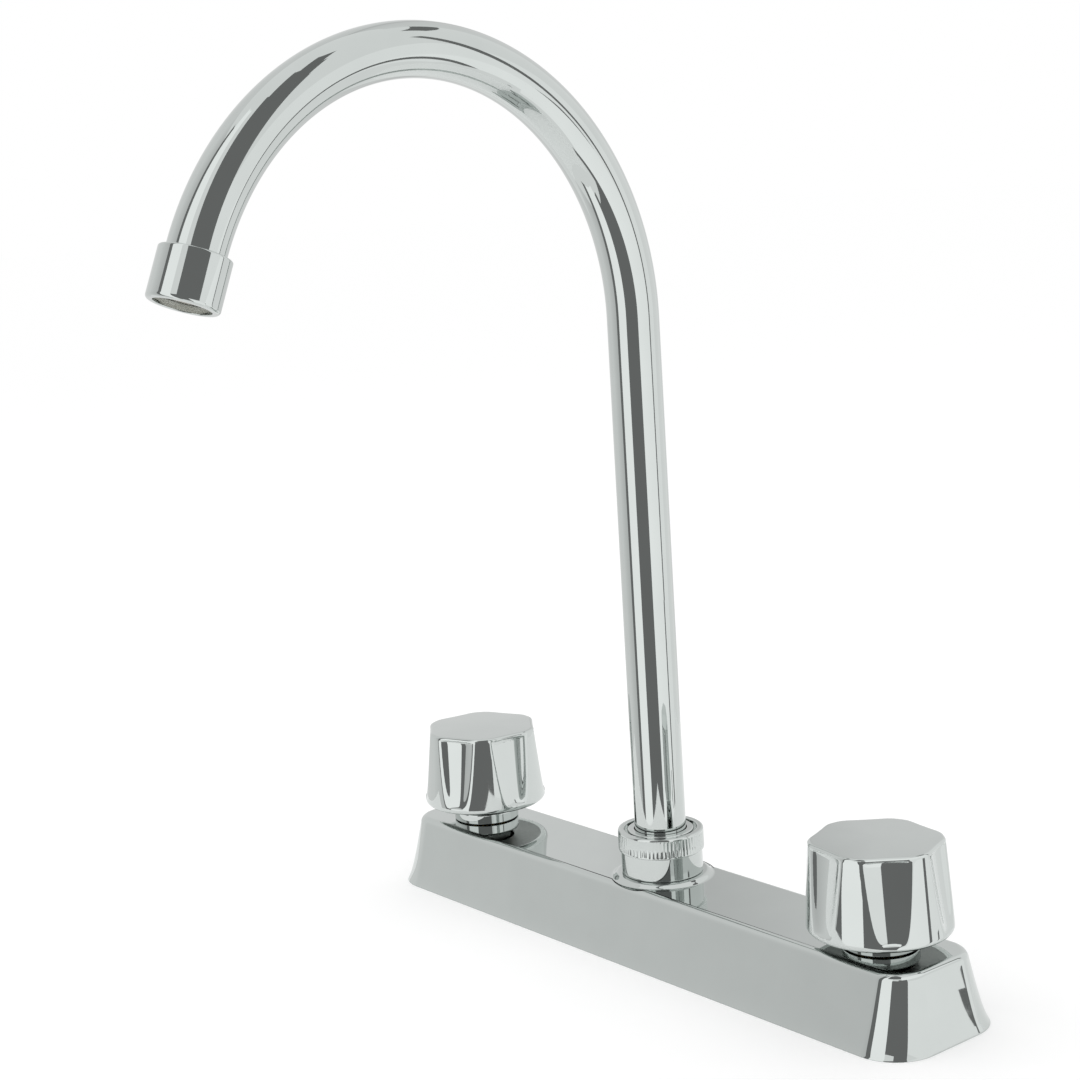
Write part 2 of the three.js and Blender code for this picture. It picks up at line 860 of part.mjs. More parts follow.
function makeSpoutTube() {
  const section = new THREE.Shape(circlePoints(spout.radius, facets.tube));
  section.holes.push(new THREE.Path(circlePoints(spout.radius - spout.wall, facets.hidden)));
  const tube = new THREE.ExtrudeGeometry(section, {
    steps: SpoutPath.steps,
    bevelEnabled: false,
    extrudePath: new SpoutPath(),
  });
  return mesh('spout_tube', tube, chrome());
}

const footSpigot = hub.socketRadius - fit.slide;
const tubeSpigot = spout.radius - spout.wall - fit.slide;
const spigotFoot = hubFloor + fit.seat;
const lowerRing = spigotFoot + 1;
const footRings = [lowerRing, lowerRing + foot.ringPitch];

function makeSpoutFoot() {
  const groove = footSpigot - foot.grooveDepth;
  const outside = [[0, spigotFoot], [footSpigot, spigotFoot]];
  for (const z of footRings) {
    outside.push([footSpigot, z], [groove, z], [groove, z + foot.grooveWidth], [footSpigot, z + foot.grooveWidth]);
  }
  outside.push(
    [footSpigot, flangeFoot],
    [foot.flangeRadius, flangeFoot],
    [foot.flangeRadius, flangeTop],
    [tubeSpigot, flangeTop],
    [tubeSpigot, flangeTop + foot.spigotGrip],
    [0, flangeTop + foot.spigotGrip],
  );
  const bore = plug(foot.boreRadius, spigotFoot - 1, flangeTop + foot.spigotGrip + 1);
  return mesh('spout_foot', cut(turned(outside, facets.hidden), bore), brass());
}

function makeFootRing(name, z) {
  const inner = footSpigot - foot.grooveDepth + fit.seal;
  const outer = hub.socketRadius - fit.seal;
  const middle = z + foot.grooveWidth / 2;
  return mesh(name, sealRing(inner, outer, middle - (outer - inner) / 2), rubber());
}

function makeGlideWasher() {
  const inner = footSpigot + fit.slide;
  const top = washerFoot + glideWasher.thickness;
  return mesh('glide_washer', washer(inner, foot.flangeRadius, washerFoot, top), whitePlastic());
}

function makeTrimRing() {
  const from = nutFlangeTop + fit.seat;
  const to = from + trimRing.height;
  const inner = spout.radius + fit.slide;
  const ring = turnedRing([
    [inner, from],
    [trimRing.radius, from],
    [trimRing.radius, to - trimRing.chamfer],
    [trimRing.radius - trimRing.chamfer, to],
    [inner, to],
  ], facets.seen);
  return mesh('spout_trim_ring', ring, chrome());
}

// ---------------------------------------------------------------- aerator, drawn downwards from z = 0

const adapterFlangeTop = -spout.tip - fit.seat;
const adapterFlangeFoot = adapterFlangeTop - aerator.adapterFlange;
const aeratorBore = aerator.radius - aerator.wall;
const innerFit = aeratorBore - fit.slide;
const rubberTop = adapterFlangeFoot - fit.seat;
const rubberFoot = rubberTop - aerator.washerThickness;
const screenTop = rubberFoot - fit.seat;
const screenFoot = screenTop - aerator.screen;
const strainerTop = screenFoot - fit.seat;
const strainerFoot = -aerator.length + aerator.lip + fit.seat;

function makeAeratorHousing() {
  const mouth = aeratorBore - aerator.lip;
  const outside = turned([
    [0, 0],
    [aerator.radius - aerator.edge / 2, 0],
    [aerator.radius, -aerator.edge / 2],
    [aerator.radius, -aerator.length + aerator.edge],
    [aerator.radius - aerator.edge * 0.3, -aerator.length + aerator.edge * 0.3],
    [aerator.radius - aerator.edge, -aerator.length],
    [0, -aerator.length],
  ], facets.seen);
  const hollow = turned([
    [0, 1],
    [spout.radius + fit.slide, 1],
    [spout.radius + fit.slide, adapterFlangeTop + fit.seat],
    [aeratorBore, adapterFlangeTop + fit.seat],
    [aeratorBore, -aerator.length + aerator.lip],
    [mouth, -aerator.length + aerator.lip],
    [mouth, -aerator.length - 1],
    [0, -aerator.length - 1],
  ], facets.hidden);
  return mesh('aerator_housing', cut(outside, hollow), chrome());
}

function makeTipAdapter() {
  const ring = turnedRing([
    [foot.boreRadius, adapterFlangeTop + foot.spigotGrip],
    [tubeSpigot, adapterFlangeTop + foot.spigotGrip],
    [tubeSpigot, adapterFlangeTop],
    [innerFit, adapterFlangeTop],
    [innerFit, adapterFlangeFoot],
    [foot.boreRadius, adapterFlangeFoot],
  ], facets.hidden);
  return mesh('spout_tip_adapter', ring, brass());
}

function makeAeratorWasher() {
  return mesh('aerator_washer', washer(foot.boreRadius, innerFit, rubberFoot, rubberTop), rubber());
}

// Hole centres on a hexagonal grid, nearest the middle first.
function gridCentres(count, pitch) {
  const centres = [];
  for (let row = -4; row <= 4; row += 1) {
    for (let column = -4; column <= 4; column += 1) {
      const x = (column + row / 2) * pitch;
      const y = row * pitch * Math.sin(Math.PI / 3);
      centres.push([x, y]);
    }
  }
  centres.sort((a, b) => Math.hypot(...a) - Math.hypot(...b));
  return centres.slice(0, count);
}

function perforations(count, radius, pitch, from, to) {
  return gridCentres(count, pitch).map(([x, y]) => plug(radius, from, to, 6).translate(x, y, 0));
}

function makeScreen() {
  const plate = plug(innerFit, screenFoot, screenTop);
  const { screenHoles, screenHoleRadius, screenHolePitch } = aerator;
  const holes = perforations(screenHoles, screenHoleRadius, screenHolePitch, screenFoot - 1, screenTop + 1);
  return mesh('aerator_screen', cut(plate, ...holes), steel());
}

function makeStrainer() {
  const outside = plug(innerFit, strainerFoot, strainerTop);
  const chamber = plug(innerFit - aerator.wall, strainerFoot + aerator.plate, strainerTop + 1);
  const plateTop = strainerFoot + aerator.plate;
  const holes = perforations(aerator.holes, aerator.holeRadius, aerator.holePitch, strainerFoot - 1, plateTop + 1);
  return mesh('aerator_strainer', cut(outside, chamber, ...holes), whitePlastic());
}

function makeAerator() {
  const tip = new THREE.Group();
  const sweep = THREE.MathUtils.degToRad(spout.sweep);
  tip.position.y = -spout.bendRadius * (1 - Math.cos(sweep));
  tip.position.z = bendCentre + spout.bendRadius * Math.sin(sweep);
  tip.rotation.x = sweep - Math.PI;
  tip.add(makeAeratorHousing(), makeTipAdapter(), makeAeratorWasher(), makeScreen(), makeStrainer());
  return tip;
}

function makeSpout() {
  const swivel = new THREE.Group();
  swivel.rotation.z = THREE.MathUtils.degToRad(restTurn.spout);
  swivel.add(makeSpoutTube(), makeSpoutFoot(), makeTrimRing(), makeAerator());
  footRings.forEach((z, i) => swivel.add(makeFootRing(`spout_o_ring_${i + 1}`, z)));
  return swivel;
}

// ---------------------------------------------------------------- whole faucet

const group = new THREE.Group();
group.add(
  makeCover(),
  makeBasePlate(),
  makeOutletHub(),
  makeCrossover('hot', -1),
  makeCrossover('cold', 1),
  makeGlideWasher(),
  makeCouplingNut(),
  makeSpout(),
  makeValve('hot', -1, restTurn.hotKnob, restRise.hotKnob),
  makeValve('cold', 1, restTurn.coldKnob, restRise.coldKnob),
);

export default group;
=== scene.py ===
"""Two handle kitchen faucet in polished chrome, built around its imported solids.

A long deck cover with leaning sides carries two fluted knobs and, on a knurled
coupling nut, a gooseneck spout that swivels. All lengths are in metres, +Z is up,
the spout reaches to -Y, the hot side is -X and the cold side is +X.
"""

import json
import math

import bmesh
import bpy
from bpy.props import FloatProperty, FloatVectorProperty, IntProperty, PointerProperty
from bpy.types import Operator, Panel, PropertyGroup
from mathutils import Matrix, Vector


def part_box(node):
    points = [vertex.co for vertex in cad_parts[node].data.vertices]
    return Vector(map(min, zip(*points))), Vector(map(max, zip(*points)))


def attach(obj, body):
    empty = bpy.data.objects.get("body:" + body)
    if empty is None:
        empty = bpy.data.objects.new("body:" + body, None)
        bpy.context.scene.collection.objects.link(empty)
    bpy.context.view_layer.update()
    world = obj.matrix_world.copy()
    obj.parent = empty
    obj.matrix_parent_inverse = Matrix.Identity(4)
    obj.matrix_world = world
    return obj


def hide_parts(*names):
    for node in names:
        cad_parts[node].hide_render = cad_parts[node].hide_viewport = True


bl_info = {
    "name": "Two handle kitchen faucet",
    "version": (1, 0, 0),
    "blender": (4, 5, 0),
    "location": "3D View > Sidebar > Faucet",
    "description": "Builds a chromed kitchen faucet with two fluted knobs, a swivel spout and a small studio",
    "category": "Add Mesh",
}

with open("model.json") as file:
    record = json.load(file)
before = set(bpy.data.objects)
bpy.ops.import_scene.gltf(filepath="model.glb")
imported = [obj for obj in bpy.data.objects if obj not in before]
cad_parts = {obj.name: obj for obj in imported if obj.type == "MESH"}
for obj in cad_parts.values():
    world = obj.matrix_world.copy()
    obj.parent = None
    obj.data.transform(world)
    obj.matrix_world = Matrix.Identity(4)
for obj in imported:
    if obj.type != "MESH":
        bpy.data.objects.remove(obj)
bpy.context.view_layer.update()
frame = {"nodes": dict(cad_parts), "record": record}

FULL_TURN = 2 * math.pi
QUARTER_TURN = math.pi / 2
GUARD = 0.0003  # a narrow strip beside each rounding that keeps the flat next to it flat
CLEARANCE = 0.0003  # left round the tube and the strainer
TINY = 0.000001  # smaller than any step in the shapes
COVER_NUTS = ("cover_nut_hot", "cover_nut_cold")
SHADE_GREY_CARTRIDGES = ("cartridge_hot", "cartridge_cold")  # brass shown in the dull grey of painted shade, where it shows under the knobs


# ---------------------------------------------------------------- what the imported solids give


def middle_of(node):
    low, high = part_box(node)
    return (low + high) / 2


def extent_of(node):
    low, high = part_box(node)
    return high - low


cover_extent = extent_of("deck_cover")
tube_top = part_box("spout_tube")[1].z


# ---------------------------------------------------------------- settings


def length(name, default, description):
    return FloatProperty(
        name=name, description=description, default=default, min=0.0, unit="LENGTH", precision=5
    )


def share(name, default, description):
    return FloatProperty(
        name=name, description=description, default=default, min=0.0, max=1.0, subtype="FACTOR"
    )


def angle(name, degrees, description):
    return FloatProperty(
        name=name, description=description, default=math.radians(degrees), unit="ROTATION", subtype="ANGLE"
    )


def number(name, default, description):
    return IntProperty(name=name, description=description, default=default, min=3)


def colour(name, default, description):
    return FloatVectorProperty(
        name=name, description=description, default=default, size=3, min=0.0, max=1.0, subtype="COLOR"
    )


def level(name, default, description):
    return FloatProperty(name=name, description=description, default=default, min=0.0)


class CoverSizes(PropertyGroup):
    length: length("Length", cover_extent.x, "Length of the deck cover at its foot")
    width: length("Width", cover_extent.y, "Width of the deck cover at its foot")
    height: length("Height", 0.0248, "Height of the flat top above the sink")
    corner: length("Corner radius", 0.016, "Radius of the corners at the foot, seen from above")
    corner_tightening: length("Corner tightening", 0.006, "How much smaller the corner radius is at the top")
    end_lean: length("End lean", 0.0045, "How far each end leans in by the top")
    side_lean: length("Side lean", 0.0086, "How far each long side leans in by the top")
    flare_reach: length("Flare reach", 0.004, "Height over which the foot of the walls flares out")
    flare_share: share("Flare share", 0.22, "Share of the lean that the flare at the foot takes")
    edge: length("Top edge", 0.0022, "Rounding along the top edge")
    foot_edge: length("Foot edge", 0.0003, "Rounding along the edge that stands on the sink")
    wall: length("Wall", 0.002, "Thickness of the cover's wall")
    pad_radius: length("Pad radius", 0.0158, "Radius of the flat of the round pad under the coupling nut")
    pad_height: length("Pad height", 0.0014, "Height of the round pad above the flat top")
    pad_flare: length("Pad flare", 0.0026, "Reach of the swell round the pad")
    outlet_hole: length("Outlet hole", 0.0119, "Radius of the hole for the outlet's neck")
    valve_hole: length("Valve hole", 0.0103, "Radius of the holes for the valve necks")
    nut_radius: length("Nut radius", 0.0125, "Radius of the round nut under each knob")


class KnobSizes(PropertyGroup):
    height: length("Height", 0.0296, "Height of a knob")
    lift: length("Lift", 0.0054, "Gap between the cover's top and a knob that is pressed fully down")
    hot_rise: length("Hot knob rise", 0.0018, "How far the hot knob stands above its lowest place")
    hot_turn: angle("Hot knob turn", 23, "How far the hot knob is turned at rest")
    cold_turn: angle("Cold knob turn", -9.6, "How far the cold knob is turned at rest")
    rim_radius: length("Rim radius", 0.0237, "Radius at the lower edge")
    crown_radius: length("Crown radius", 0.0217, "Radius at the top edge")
    rim_edge: length("Rim edge", 0.0019, "Rounding of the lower edge")
    crown_edge: length("Crown edge", 0.0010, "Rounding of the top edge")
    dome: length("Dome", 0.00035, "How much the top face bulges")
    flutes: number("Flutes", 6, "Number of hollows round a knob")
    flute_depth: length("Flute depth", 0.003, "Depth of a hollow at the top")
    flute_top: length("Flute radius at the top", 0.020, "Radius of the hollow across a flute at the top")
    flute_foot: length("Flute radius at the foot", 0.012, "Radius of the hollow across a flute at the foot")
    flute_end: length("Flute end", 0.0024, "Height above the lower edge at which the flutes run out")
    flute_run_out: level("Flute run-out", 0.36, "How steeply a flute deepens from its lower end")
    brow: length("Flute brow", 0.0008, "Height below the top edge within which a flute comes up to it")
    brow_share: share("Brow share", 0.55, "Share of a flute's depth that is left at the top edge")
    crease: length("Crease", 0.0009, "Softening of the edges between ridges and flutes")
    foot_flange: length("Foot flange", 0.001, "Thickness of the flange turned inward at the lower edge")
    foot_bore: length("Foot bore", 0.0104, "Radius of the opening in that flange")
    wall: length("Wall", 0.0022, "Thickness of the knob's wall")
    top_wall: length("Top wall", 0.0032, "Thickness of the knob's top")
    hub_radius: length("Hub radius", 0.0096, "Radius of the hub that holds the splined insert")
    hub_reach: length("Hub reach", 0.0155, "How far the hub hangs below the inside of the top")
    hub_bore: length("Hub bore", 0.0078, "Radius of the hub's bore")


class NutSizes(PropertyGroup):
    foot: length("Foot", 0.02627, "Height of the nut's lower face above the sink")
    shank_radius: length("Shank radius", 0.0145, "Radius of the smooth lower part")
    shank_height: length("Shank height", 0.00813, "Height of the smooth lower part")
    band_radius: length("Band radius", 0.0152, "Radius of the knurled band")
    band_height: length("Band height", 0.0074, "Height of the knurled band")
    knurls: number("Knurls", 72, "Number of fine ribs round the band")
    knurl_depth: length("Knurl depth", 0.00016, "Depth of the fine ribs")
    recess_radius: length("Recess radius", 0.013, "Radius of the recess round the spout")
    flange_top: length("Flange top", 0.04, "Height of the recess's floor above the sink")
    flange: length("Flange", 0.0013, "Thickness of the inward flange")
    bore: length("Bore", 0.0119, "Radius of the threaded bore")
    ring_radius: length("Trim ring radius", 0.0118, "Radius of the ring round the tube in the recess")


class SpoutSizes(PropertyGroup):
    turn: angle("Turn", 4, "How far the spout is swivelled at rest")
    radius: length("Tube radius", 0.00915, "Outer radius of the tube")
    wall: length("Tube wall", 0.001, "Thickness of the tube's wall")
    foot: length("Foot", 0.0387, "Height of the tube's lower end above the sink")
    bend: length("Bend radius", 0.0938, "Radius of the bend's centre line")
    sweep: angle("Sweep", 158, "Angle of the bend")
    tip: length("Tip", 0.002, "Straight end beyond the bend")
    collar_radius: length("Collar radius", 0.01125, "Radius of the aerator's collar")
    collar_length: length("Collar length", 0.0163, "Length of the aerator's collar")
    collar_wall: length("Collar wall", 0.00125, "Thickness of the collar's wall")
    lip: length("Lip", 0.0011, "Inward lip that holds the strainer")
    lip_edge: length("Lip edge", 0.0012, "Rounding of the collar's lower edge")
    strainer_seat: length("Strainer seat", 0.0016, "Height of the strainer's foot above the lip")
    strainer_floor: length("Strainer floor", 0.0014, "Thickness of the strainer's pierced floor")
    strainer_wall: length("Strainer wall", 0.00125, "Thickness of the strainer's wall")
    strainer_top: length("Strainer top", 0.0098, "Depth of the strainer's rim below the tube's end")
    strainer_holes: number("Strainer holes", 37, "Number of holes in the strainer")
    strainer_hole: length("Strainer hole", 0.0006, "Radius of the strainer's holes")
    strainer_pitch: length("Strainer pitch", 0.0023, "Distance between the strainer's holes")


class Finishes(PropertyGroup):
    chrome: colour("Chrome", (0.575, 0.607, 0.594), "Colour of the polished plating")
    chrome_roughness: share("Chrome roughness", 0.03, "Roughness of the polished plating")
    # The insides are dull plated, and this colour is the dark grey of the shade under the knobs: partly real
    # plating, partly painted shade
    lining: colour("Dull plating with painted shade", (0.24, 0.255, 0.245), "Colour inside the knobs and of the cartridges")
    brass: colour("Brass", (0.46, 0.29, 0.07), "Colour of the turned brass")
    copper: colour("Copper", (0.48, 0.18, 0.08), "Colour of the drawn copper tube")
    steel: colour("Steel", (0.42, 0.43, 0.44), "Colour of the stainless steel")
    ceramic: colour("Ceramic", (0.85, 0.82, 0.74), "Colour of the ground ceramic discs")
    rubber: colour("Rubber", (0.012, 0.012, 0.013), "Colour of the rubber seals")
    black_plastic: colour("Black plastic", (0.024, 0.025, 0.027), "Colour of the moulded base plate")
    white_plastic: colour("White plastic", (0.76, 0.73, 0.66), "Colour of the moulded inserts and washers")


class StageSettings(PropertyGroup):
    floor: level("Floor", 0.8, "Paleness of the floor")
    floor_lift: level("Floor lift", 0.28, "Light that the floor adds for the camera and in the metal")
    room: level("Room", 0.9, "Strength of the even light from all round")
    lamp: level("Lamp", 1.5, "Power of the soft lamp overhead, in watts")
    lamp_width: length("Lamp width", 0.9, "Width of the soft lamp overhead")
    middle: length("Tent middle", 0.27, "Height of the middle of the tent, about that of the spout's bend")
    wall_reach: length("Wall reach", 5.0, "Distance of the tent's walls")
    board_reach: length("Board reach", 0.29, "Distance of the dark board before the spout's bend")
    strip_reach: length("Strip reach", 0.2, "Distance of the strips close to the tube and the cover's end")
    dark: level("Dark", 0.2, "Brightness of the opening in the tent, as seen in the metal")
    bright: level("Bright", 1.24, "Brightness of the lit panels beside the opening")


# ---------------------------------------------------------------- finishes


def graph(name):
    """A new material, its node tree and its shader."""
    material = bpy.data.materials.new(name)
    material.use_nodes = True
    tree = material.node_tree
    return material, tree, tree.nodes["Principled BSDF"]


def feed(tree, node, inputs):
    """Set a node's inputs to values, or link them where another node's output is given."""
    for name, value in inputs.items():
        if isinstance(value, bpy.types.NodeSocket):
            tree.links.new(value, node.inputs[name])
        else:
            node.inputs[name].default_value = value
    return node


def surface_place(tree, stretch=(1, 1, 1)):
    """Coordinates that lie in the piece itself, stretched along its grain."""
    place = tree.nodes.new("ShaderNodeTexCoord").outputs["Object"]
    mapping = tree.nodes.new("ShaderNodeMapping")
    return feed(tree, mapping, {"Scale": stretch, "Vector": place}).outputs["Vector"]


def noise(tree, vector, scale, detail=3.0):
    texture = tree.nodes.new("ShaderNodeTexNoise")
    return feed(tree, texture, {"Scale": scale, "Detail": detail, "Vector": vector}).outputs["Fac"]


def spread(tree, source, low, high):
    """Map a texture's middle range to a pair of values."""
    inputs = {"From Min": 0.3, "From Max": 0.7, "To Min": low, "To Max": high, "Value": source}
    return feed(tree, tree.nodes.new("ShaderNodeMapRange"), inputs).outputs["Result"]


def tint(tree, source, dark, light):
    """Map a texture's middle range to a pair of colours."""
    ramp = tree.nodes.new("ShaderNodeValToRGB")
    for stop, place, rgb in zip(ramp.color_ramp.elements, (0.3, 0.7), (dark, light)):
        stop.position = place
        stop.color = (*rgb, 1)
    return feed(tree, ramp, {"Fac": source}).outputs["Color"]


def relief(tree, source, distance, strength):
    bump = tree.nodes.new("ShaderNodeBump")
    inputs = {"Distance": distance, "Strength": strength, "Height": source}
    return feed(tree, bump, inputs).outputs["Normal"]


def scaled(rgb, factor):
    return tuple(min(channel * factor, 1.0) for channel in rgb)


def dressed(name, rgb, variation, roughness, depth, strength, grain, metallic=0.0, stretch=(1, 1, 1)):
    """A finish whose colour, gloss and relief follow two scales of noise."""
    material, tree, shader = graph(name)
    place = surface_place(tree, stretch)
    broad = noise(tree, place, grain / 8, detail=2.0)
    fine = noise(tree, place, grain, detail=4.0)
    inputs = {
        "Metallic": metallic,
        "Base Color": tint(tree, broad, scaled(rgb, 1 - variation), scaled(rgb, 1 + variation)),
        "Roughness": spread(tree, fine, roughness * 0.85, roughness * 1.15),
        "Normal": relief(tree, fine, depth, strength),
    }
    feed(tree, shader, inputs)
    return material


def polished_chrome(finish):
    """Bright plating with the faint waviness of a polished casting."""
    material, tree, shader = graph("polished_chrome")
    place = surface_place(tree)
    haze = noise(tree, place, 60.0)
    wave = noise(tree, place, 45.0, detail=1.0)
    rgb, rough = finish.chrome, finish.chrome_roughness
    inputs = {
        "Metallic": 1.0,
        "Base Color": tint(tree, haze, scaled(rgb, 0.985), scaled(rgb, 1.015)),
        "Roughness": spread(tree, haze, rough * 0.8, rough * 1.3),
        "Normal": relief(tree, wave, distance=0.00002, strength=0.25),
    }
    feed(tree, shader, inputs)
    return material


def turned_brass(finish):
    """Brass with the fine rings that a lathe leaves."""
    material, tree, shader = graph("turned_brass")
    place = surface_place(tree)
    lathe = tree.nodes.new("ShaderNodeTexWave")
    lathe.wave_type = "BANDS"
    lathe.bands_direction = "Z"
    feed(tree, lathe, {"Scale": 900.0, "Distortion": 1.5, "Detail": 2.0, "Vector": place})
    rings = lathe.outputs["Fac"]
    stain = noise(tree, place, 110.0)
    inputs = {
        "Metallic": 1.0,
        "Base Color": tint(tree, stain, scaled(finish.brass, 0.85), scaled(finish.brass, 1.1)),
        "Roughness": spread(tree, rings, 0.22, 0.36),
        "Normal": relief(tree, rings, distance=0.00002, strength=0.5),
    }
    feed(tree, shader, inputs)
    return material


def finishes():
    """All the faucet's finishes, by the record's slots, and the dull plating in the grey of painted shade.
    They are made once.
    """
    made = {m["faucet_finish"]: m for m in bpy.data.materials if m.get("faucet_finish")}
    if made:
        return made
    finish = bpy.context.scene.faucet_finishes
    made["chrome"] = polished_chrome(finish)
    made["brass"] = turned_brass(finish)
    # name, colour, its variation, roughness, depth and strength of the relief, grain, metallic, stretch
    others = {
        "copper": ("drawn_copper", finish.copper, 0.12, 0.3, 0.00003, 0.4, 700.0, 1.0, (0.05, 1, 1)),
        "steel": ("stainless_steel", finish.steel, 0.06, 0.28, 0.00002, 0.4, 1500.0, 1.0, (1, 1, 0.1)),
        "ceramic": ("ground_ceramic", finish.ceramic, 0.04, 0.25, 0.00001, 0.3, 2600.0),
        "rubber": ("matt_rubber", finish.rubber, 0.25, 0.8, 0.00004, 0.6, 1800.0),
        "black_plastic": ("moulded_black", finish.black_plastic, 0.15, 0.55, 0.00005, 0.6, 1400.0),
        "white_plastic": ("moulded_white", finish.white_plastic, 0.04, 0.45, 0.00003, 0.4, 1200.0),
        # the dull plating, coloured the dark grey of the shade under the knobs: painted shade
        "lining": ("dull_plating", finish.lining, 0.06, 0.34, 0.00004, 0.4, 900.0, 1.0),
    }
    for slot, look in others.items():
        made[slot] = dressed(*look)
    for slot, material in made.items():
        material["faucet_finish"] = slot
    return made


# ---------------------------------------------------------------- mesh helpers


def circle(count):
    """Angles at even steps round a circle."""
    return [FULL_TURN * i / count for i in range(count)]


def eased(part):
    """A share from 0 to 1 that starts and ends gently."""
    return part * part * (3 - 2 * part)


def ring(mesh, angles, radius, height, centre=(0.0, 0.0)):
    """A level of points round an axis. The radius is a number or a function of the angle."""
    points = []
    for turn in angles:
        reach = radius(turn) if callable(radius) else radius
        place = (centre[0] + reach * math.cos(turn), centre[1] + reach * math.sin(turn), height)
        points.append(mesh.verts.new(place))
    return points


def skin(mesh, rings, closed=False, material=0):
    """Quads between each ring and the next, and back to the first if the section is closed."""
    pairs = list(zip(rings, rings[1:]))
    if closed:
        pairs.append((rings[-1], rings[0]))
    for lower, upper in pairs:
        count = len(lower)
        for i in range(count):
            j = (i + 1) % count
            face = mesh.faces.new((lower[i], lower[j], upper[j], upper[i]))
            face.material_index = material


def cap(mesh, ring_points, tip, material=0):
    """A fan from a ring to one point."""
    point = mesh.verts.new(tip)
    count = len(ring_points)
    for i in range(count):
        face = mesh.faces.new((ring_points[i], ring_points[(i + 1) % count], point))
        face.material_index = material


def flat_between(mesh, loops):
    """A flat face that fills the first loop and leaves the others open as holes."""
    edges = []
    for loop in loops:
        for a, b in zip(loop, loop[1:] + loop[:1]):
            edges.append(mesh.edges.get((a, b)) or mesh.edges.new((a, b)))
    bmesh.ops.triangle_fill(mesh, use_beauty=True, use_dissolve=False, edges=edges)


def rounded(corners, steps=5):
    """Soften the corners of a closed section given as (radius, height, rounding)."""
    count = len(corners)
    points = []
    for i, (radius, height, size) in enumerate(corners):
        here = Vector((radius, height))
        if not size:
            points.append(here)
            continue
        into = (Vector(corners[i - 1][:2]) - here).normalized()
        out = (Vector(corners[(i + 1) % count][:2]) - here).normalized()
        half = into.angle(out) / 2
        reach = size / math.tan(half)
        middle = here + (into + out).normalized() * (size / math.sin(half))
        start = here + into * reach - middle
        end = here + out * reach - middle
        sweep = math.atan2(start.x * end.y - start.y * end.x, start.dot(end))
        guard = min(GUARD, size * 0.3)  # narrower beside a small rounding
        points.append(middle + start + into * guard)
        for k in range(steps + 1):
            points.append(middle + Matrix.Rotation(sweep * k / steps, 2) @ start)
        points.append(middle + end + out * guard)
    return [(p.x, p.y) for p in points]


def turned(mesh, section, count, centre=(0.0, 0.0)):
    """A turned ring whose closed section is a list of (radius, height)."""
    angles = circle(count)
    skin(mesh, [ring(mesh, angles, r, z, centre) for r, z in section], closed=True)


def finished_piece(mesh, name, body, nodes, slot, place=None, crease=38, inner=()):
    """Make an object of the mesh, shade it, tie it to its body and hide the solids it stands for."""
    bmesh.ops.recalc_face_normals(mesh, faces=mesh.faces)
    data = bpy.data.meshes.new(name)
    mesh.to_mesh(data)
    mesh.free()
    if place is not None:
        data.transform(place)
    data.shade_smooth()
    data.set_sharp_from_angle(angle=math.radians(crease))
    for look in (slot, *inner):
        data.materials.append(finishes()[look])
    piece = bpy.data.objects.new(name, data)
    bpy.context.scene.collection.objects.link(piece)
    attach(piece, body)
    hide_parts(*nodes)


# ---------------------------------------------------------------- deck cover


def cover_loop(mesh, size, height, inset, steps=18):
    """One level of the cover: a rectangle with round corners, drawn in by the lean of its walls."""
    flare = size.flare_share * (1 - math.exp(-height / size.flare_reach))
    lean = height / size.height * (1 - size.flare_share) + flare
    half_length = size.length / 2 - lean * size.end_lean - inset
    half_width = size.width / 2 - lean * size.side_lean - inset
    radius = max(size.corner - lean * size.corner_tightening - inset, 0.001)
    points = []
    for quarter, (x, y) in enumerate(((1, 1), (-1, 1), (-1, -1), (1, -1))):
        centre = Vector((x * (half_length - radius), y * (half_width - radius), height))
        arc = [QUARTER_TURN * (quarter + i / steps) for i in range(steps + 1)]
        out = [centre + radius * Vector((math.cos(a), math.sin(a), 0)) for a in arc]
        first = Vector((-math.sin(arc[0]), math.cos(arc[0]), 0))
        last = Vector((-math.sin(arc[-1]), math.cos(arc[-1]), 0))
        points += [out[0] - GUARD * first, *out, out[-1] + GUARD * last]
    return [mesh.verts.new(p) for p in points]


def cover_outside(mesh, size):
    """The leaning walls, from the softened foot to the flat strip inside the top edge."""
    foot_steps, wall_steps, edge_steps = 3, 18, 10
    crowding = 1.35  # brings the levels of the walls closer together towards the flare
    loops = []
    edge = size.foot_edge
    for i in range(foot_steps + 1):
        turn = QUARTER_TURN * i / foot_steps
        loops.append(cover_loop(mesh, size, edge * (1 - math.cos(turn)), edge * (1 - math.sin(turn))))
    wall_top = size.height - size.edge
    for i in range(1, wall_steps + 1):
        loops.append(cover_loop(mesh, size, edge + (wall_top - edge) * (i / wall_steps) ** crowding, 0))
    for i in range(1, edge_steps + 1):
        turn = QUARTER_TURN * i / edge_steps
        height = size.height - size.edge * (1 - math.sin(turn))
        loops.append(cover_loop(mesh, size, height, size.edge * (1 - math.cos(turn))))
    loops.append(cover_loop(mesh, size, size.height, size.edge + GUARD))
    skin(mesh, loops)
    return loops[0], loops[-1]


def cover_inside(mesh, size, steps=8):
    """The inside of the walls, up to the underside of the top."""
    under = size.height - size.wall
    loops = [cover_loop(mesh, size, under * i / steps, size.wall) for i in range(steps + 1)]
    skin(mesh, loops)
    return loops[0], loops[-1]


def pad_rings(mesh, size, count=112, steps=14):
    """The round pad: a soft swell of the flat top, and the hole down to the inside."""
    angles = circle(count)
    top = size.height + size.pad_height
    rings = [ring(mesh, angles, size.pad_radius + size.pad_flare + GUARD, size.height)]
    for i in range(steps + 1):
        part = i / steps
        reach = size.pad_radius + size.pad_flare * (1 - part)
        rings.append(ring(mesh, angles, reach, size.height + size.pad_height * eased(part)))
    rings.append(ring(mesh, angles, size.pad_radius - GUARD, top))
    for height in (top, size.height - size.wall):
        rings.append(ring(mesh, angles, size.outlet_hole, height))
    skin(mesh, rings)
    return rings[0], rings[-1]


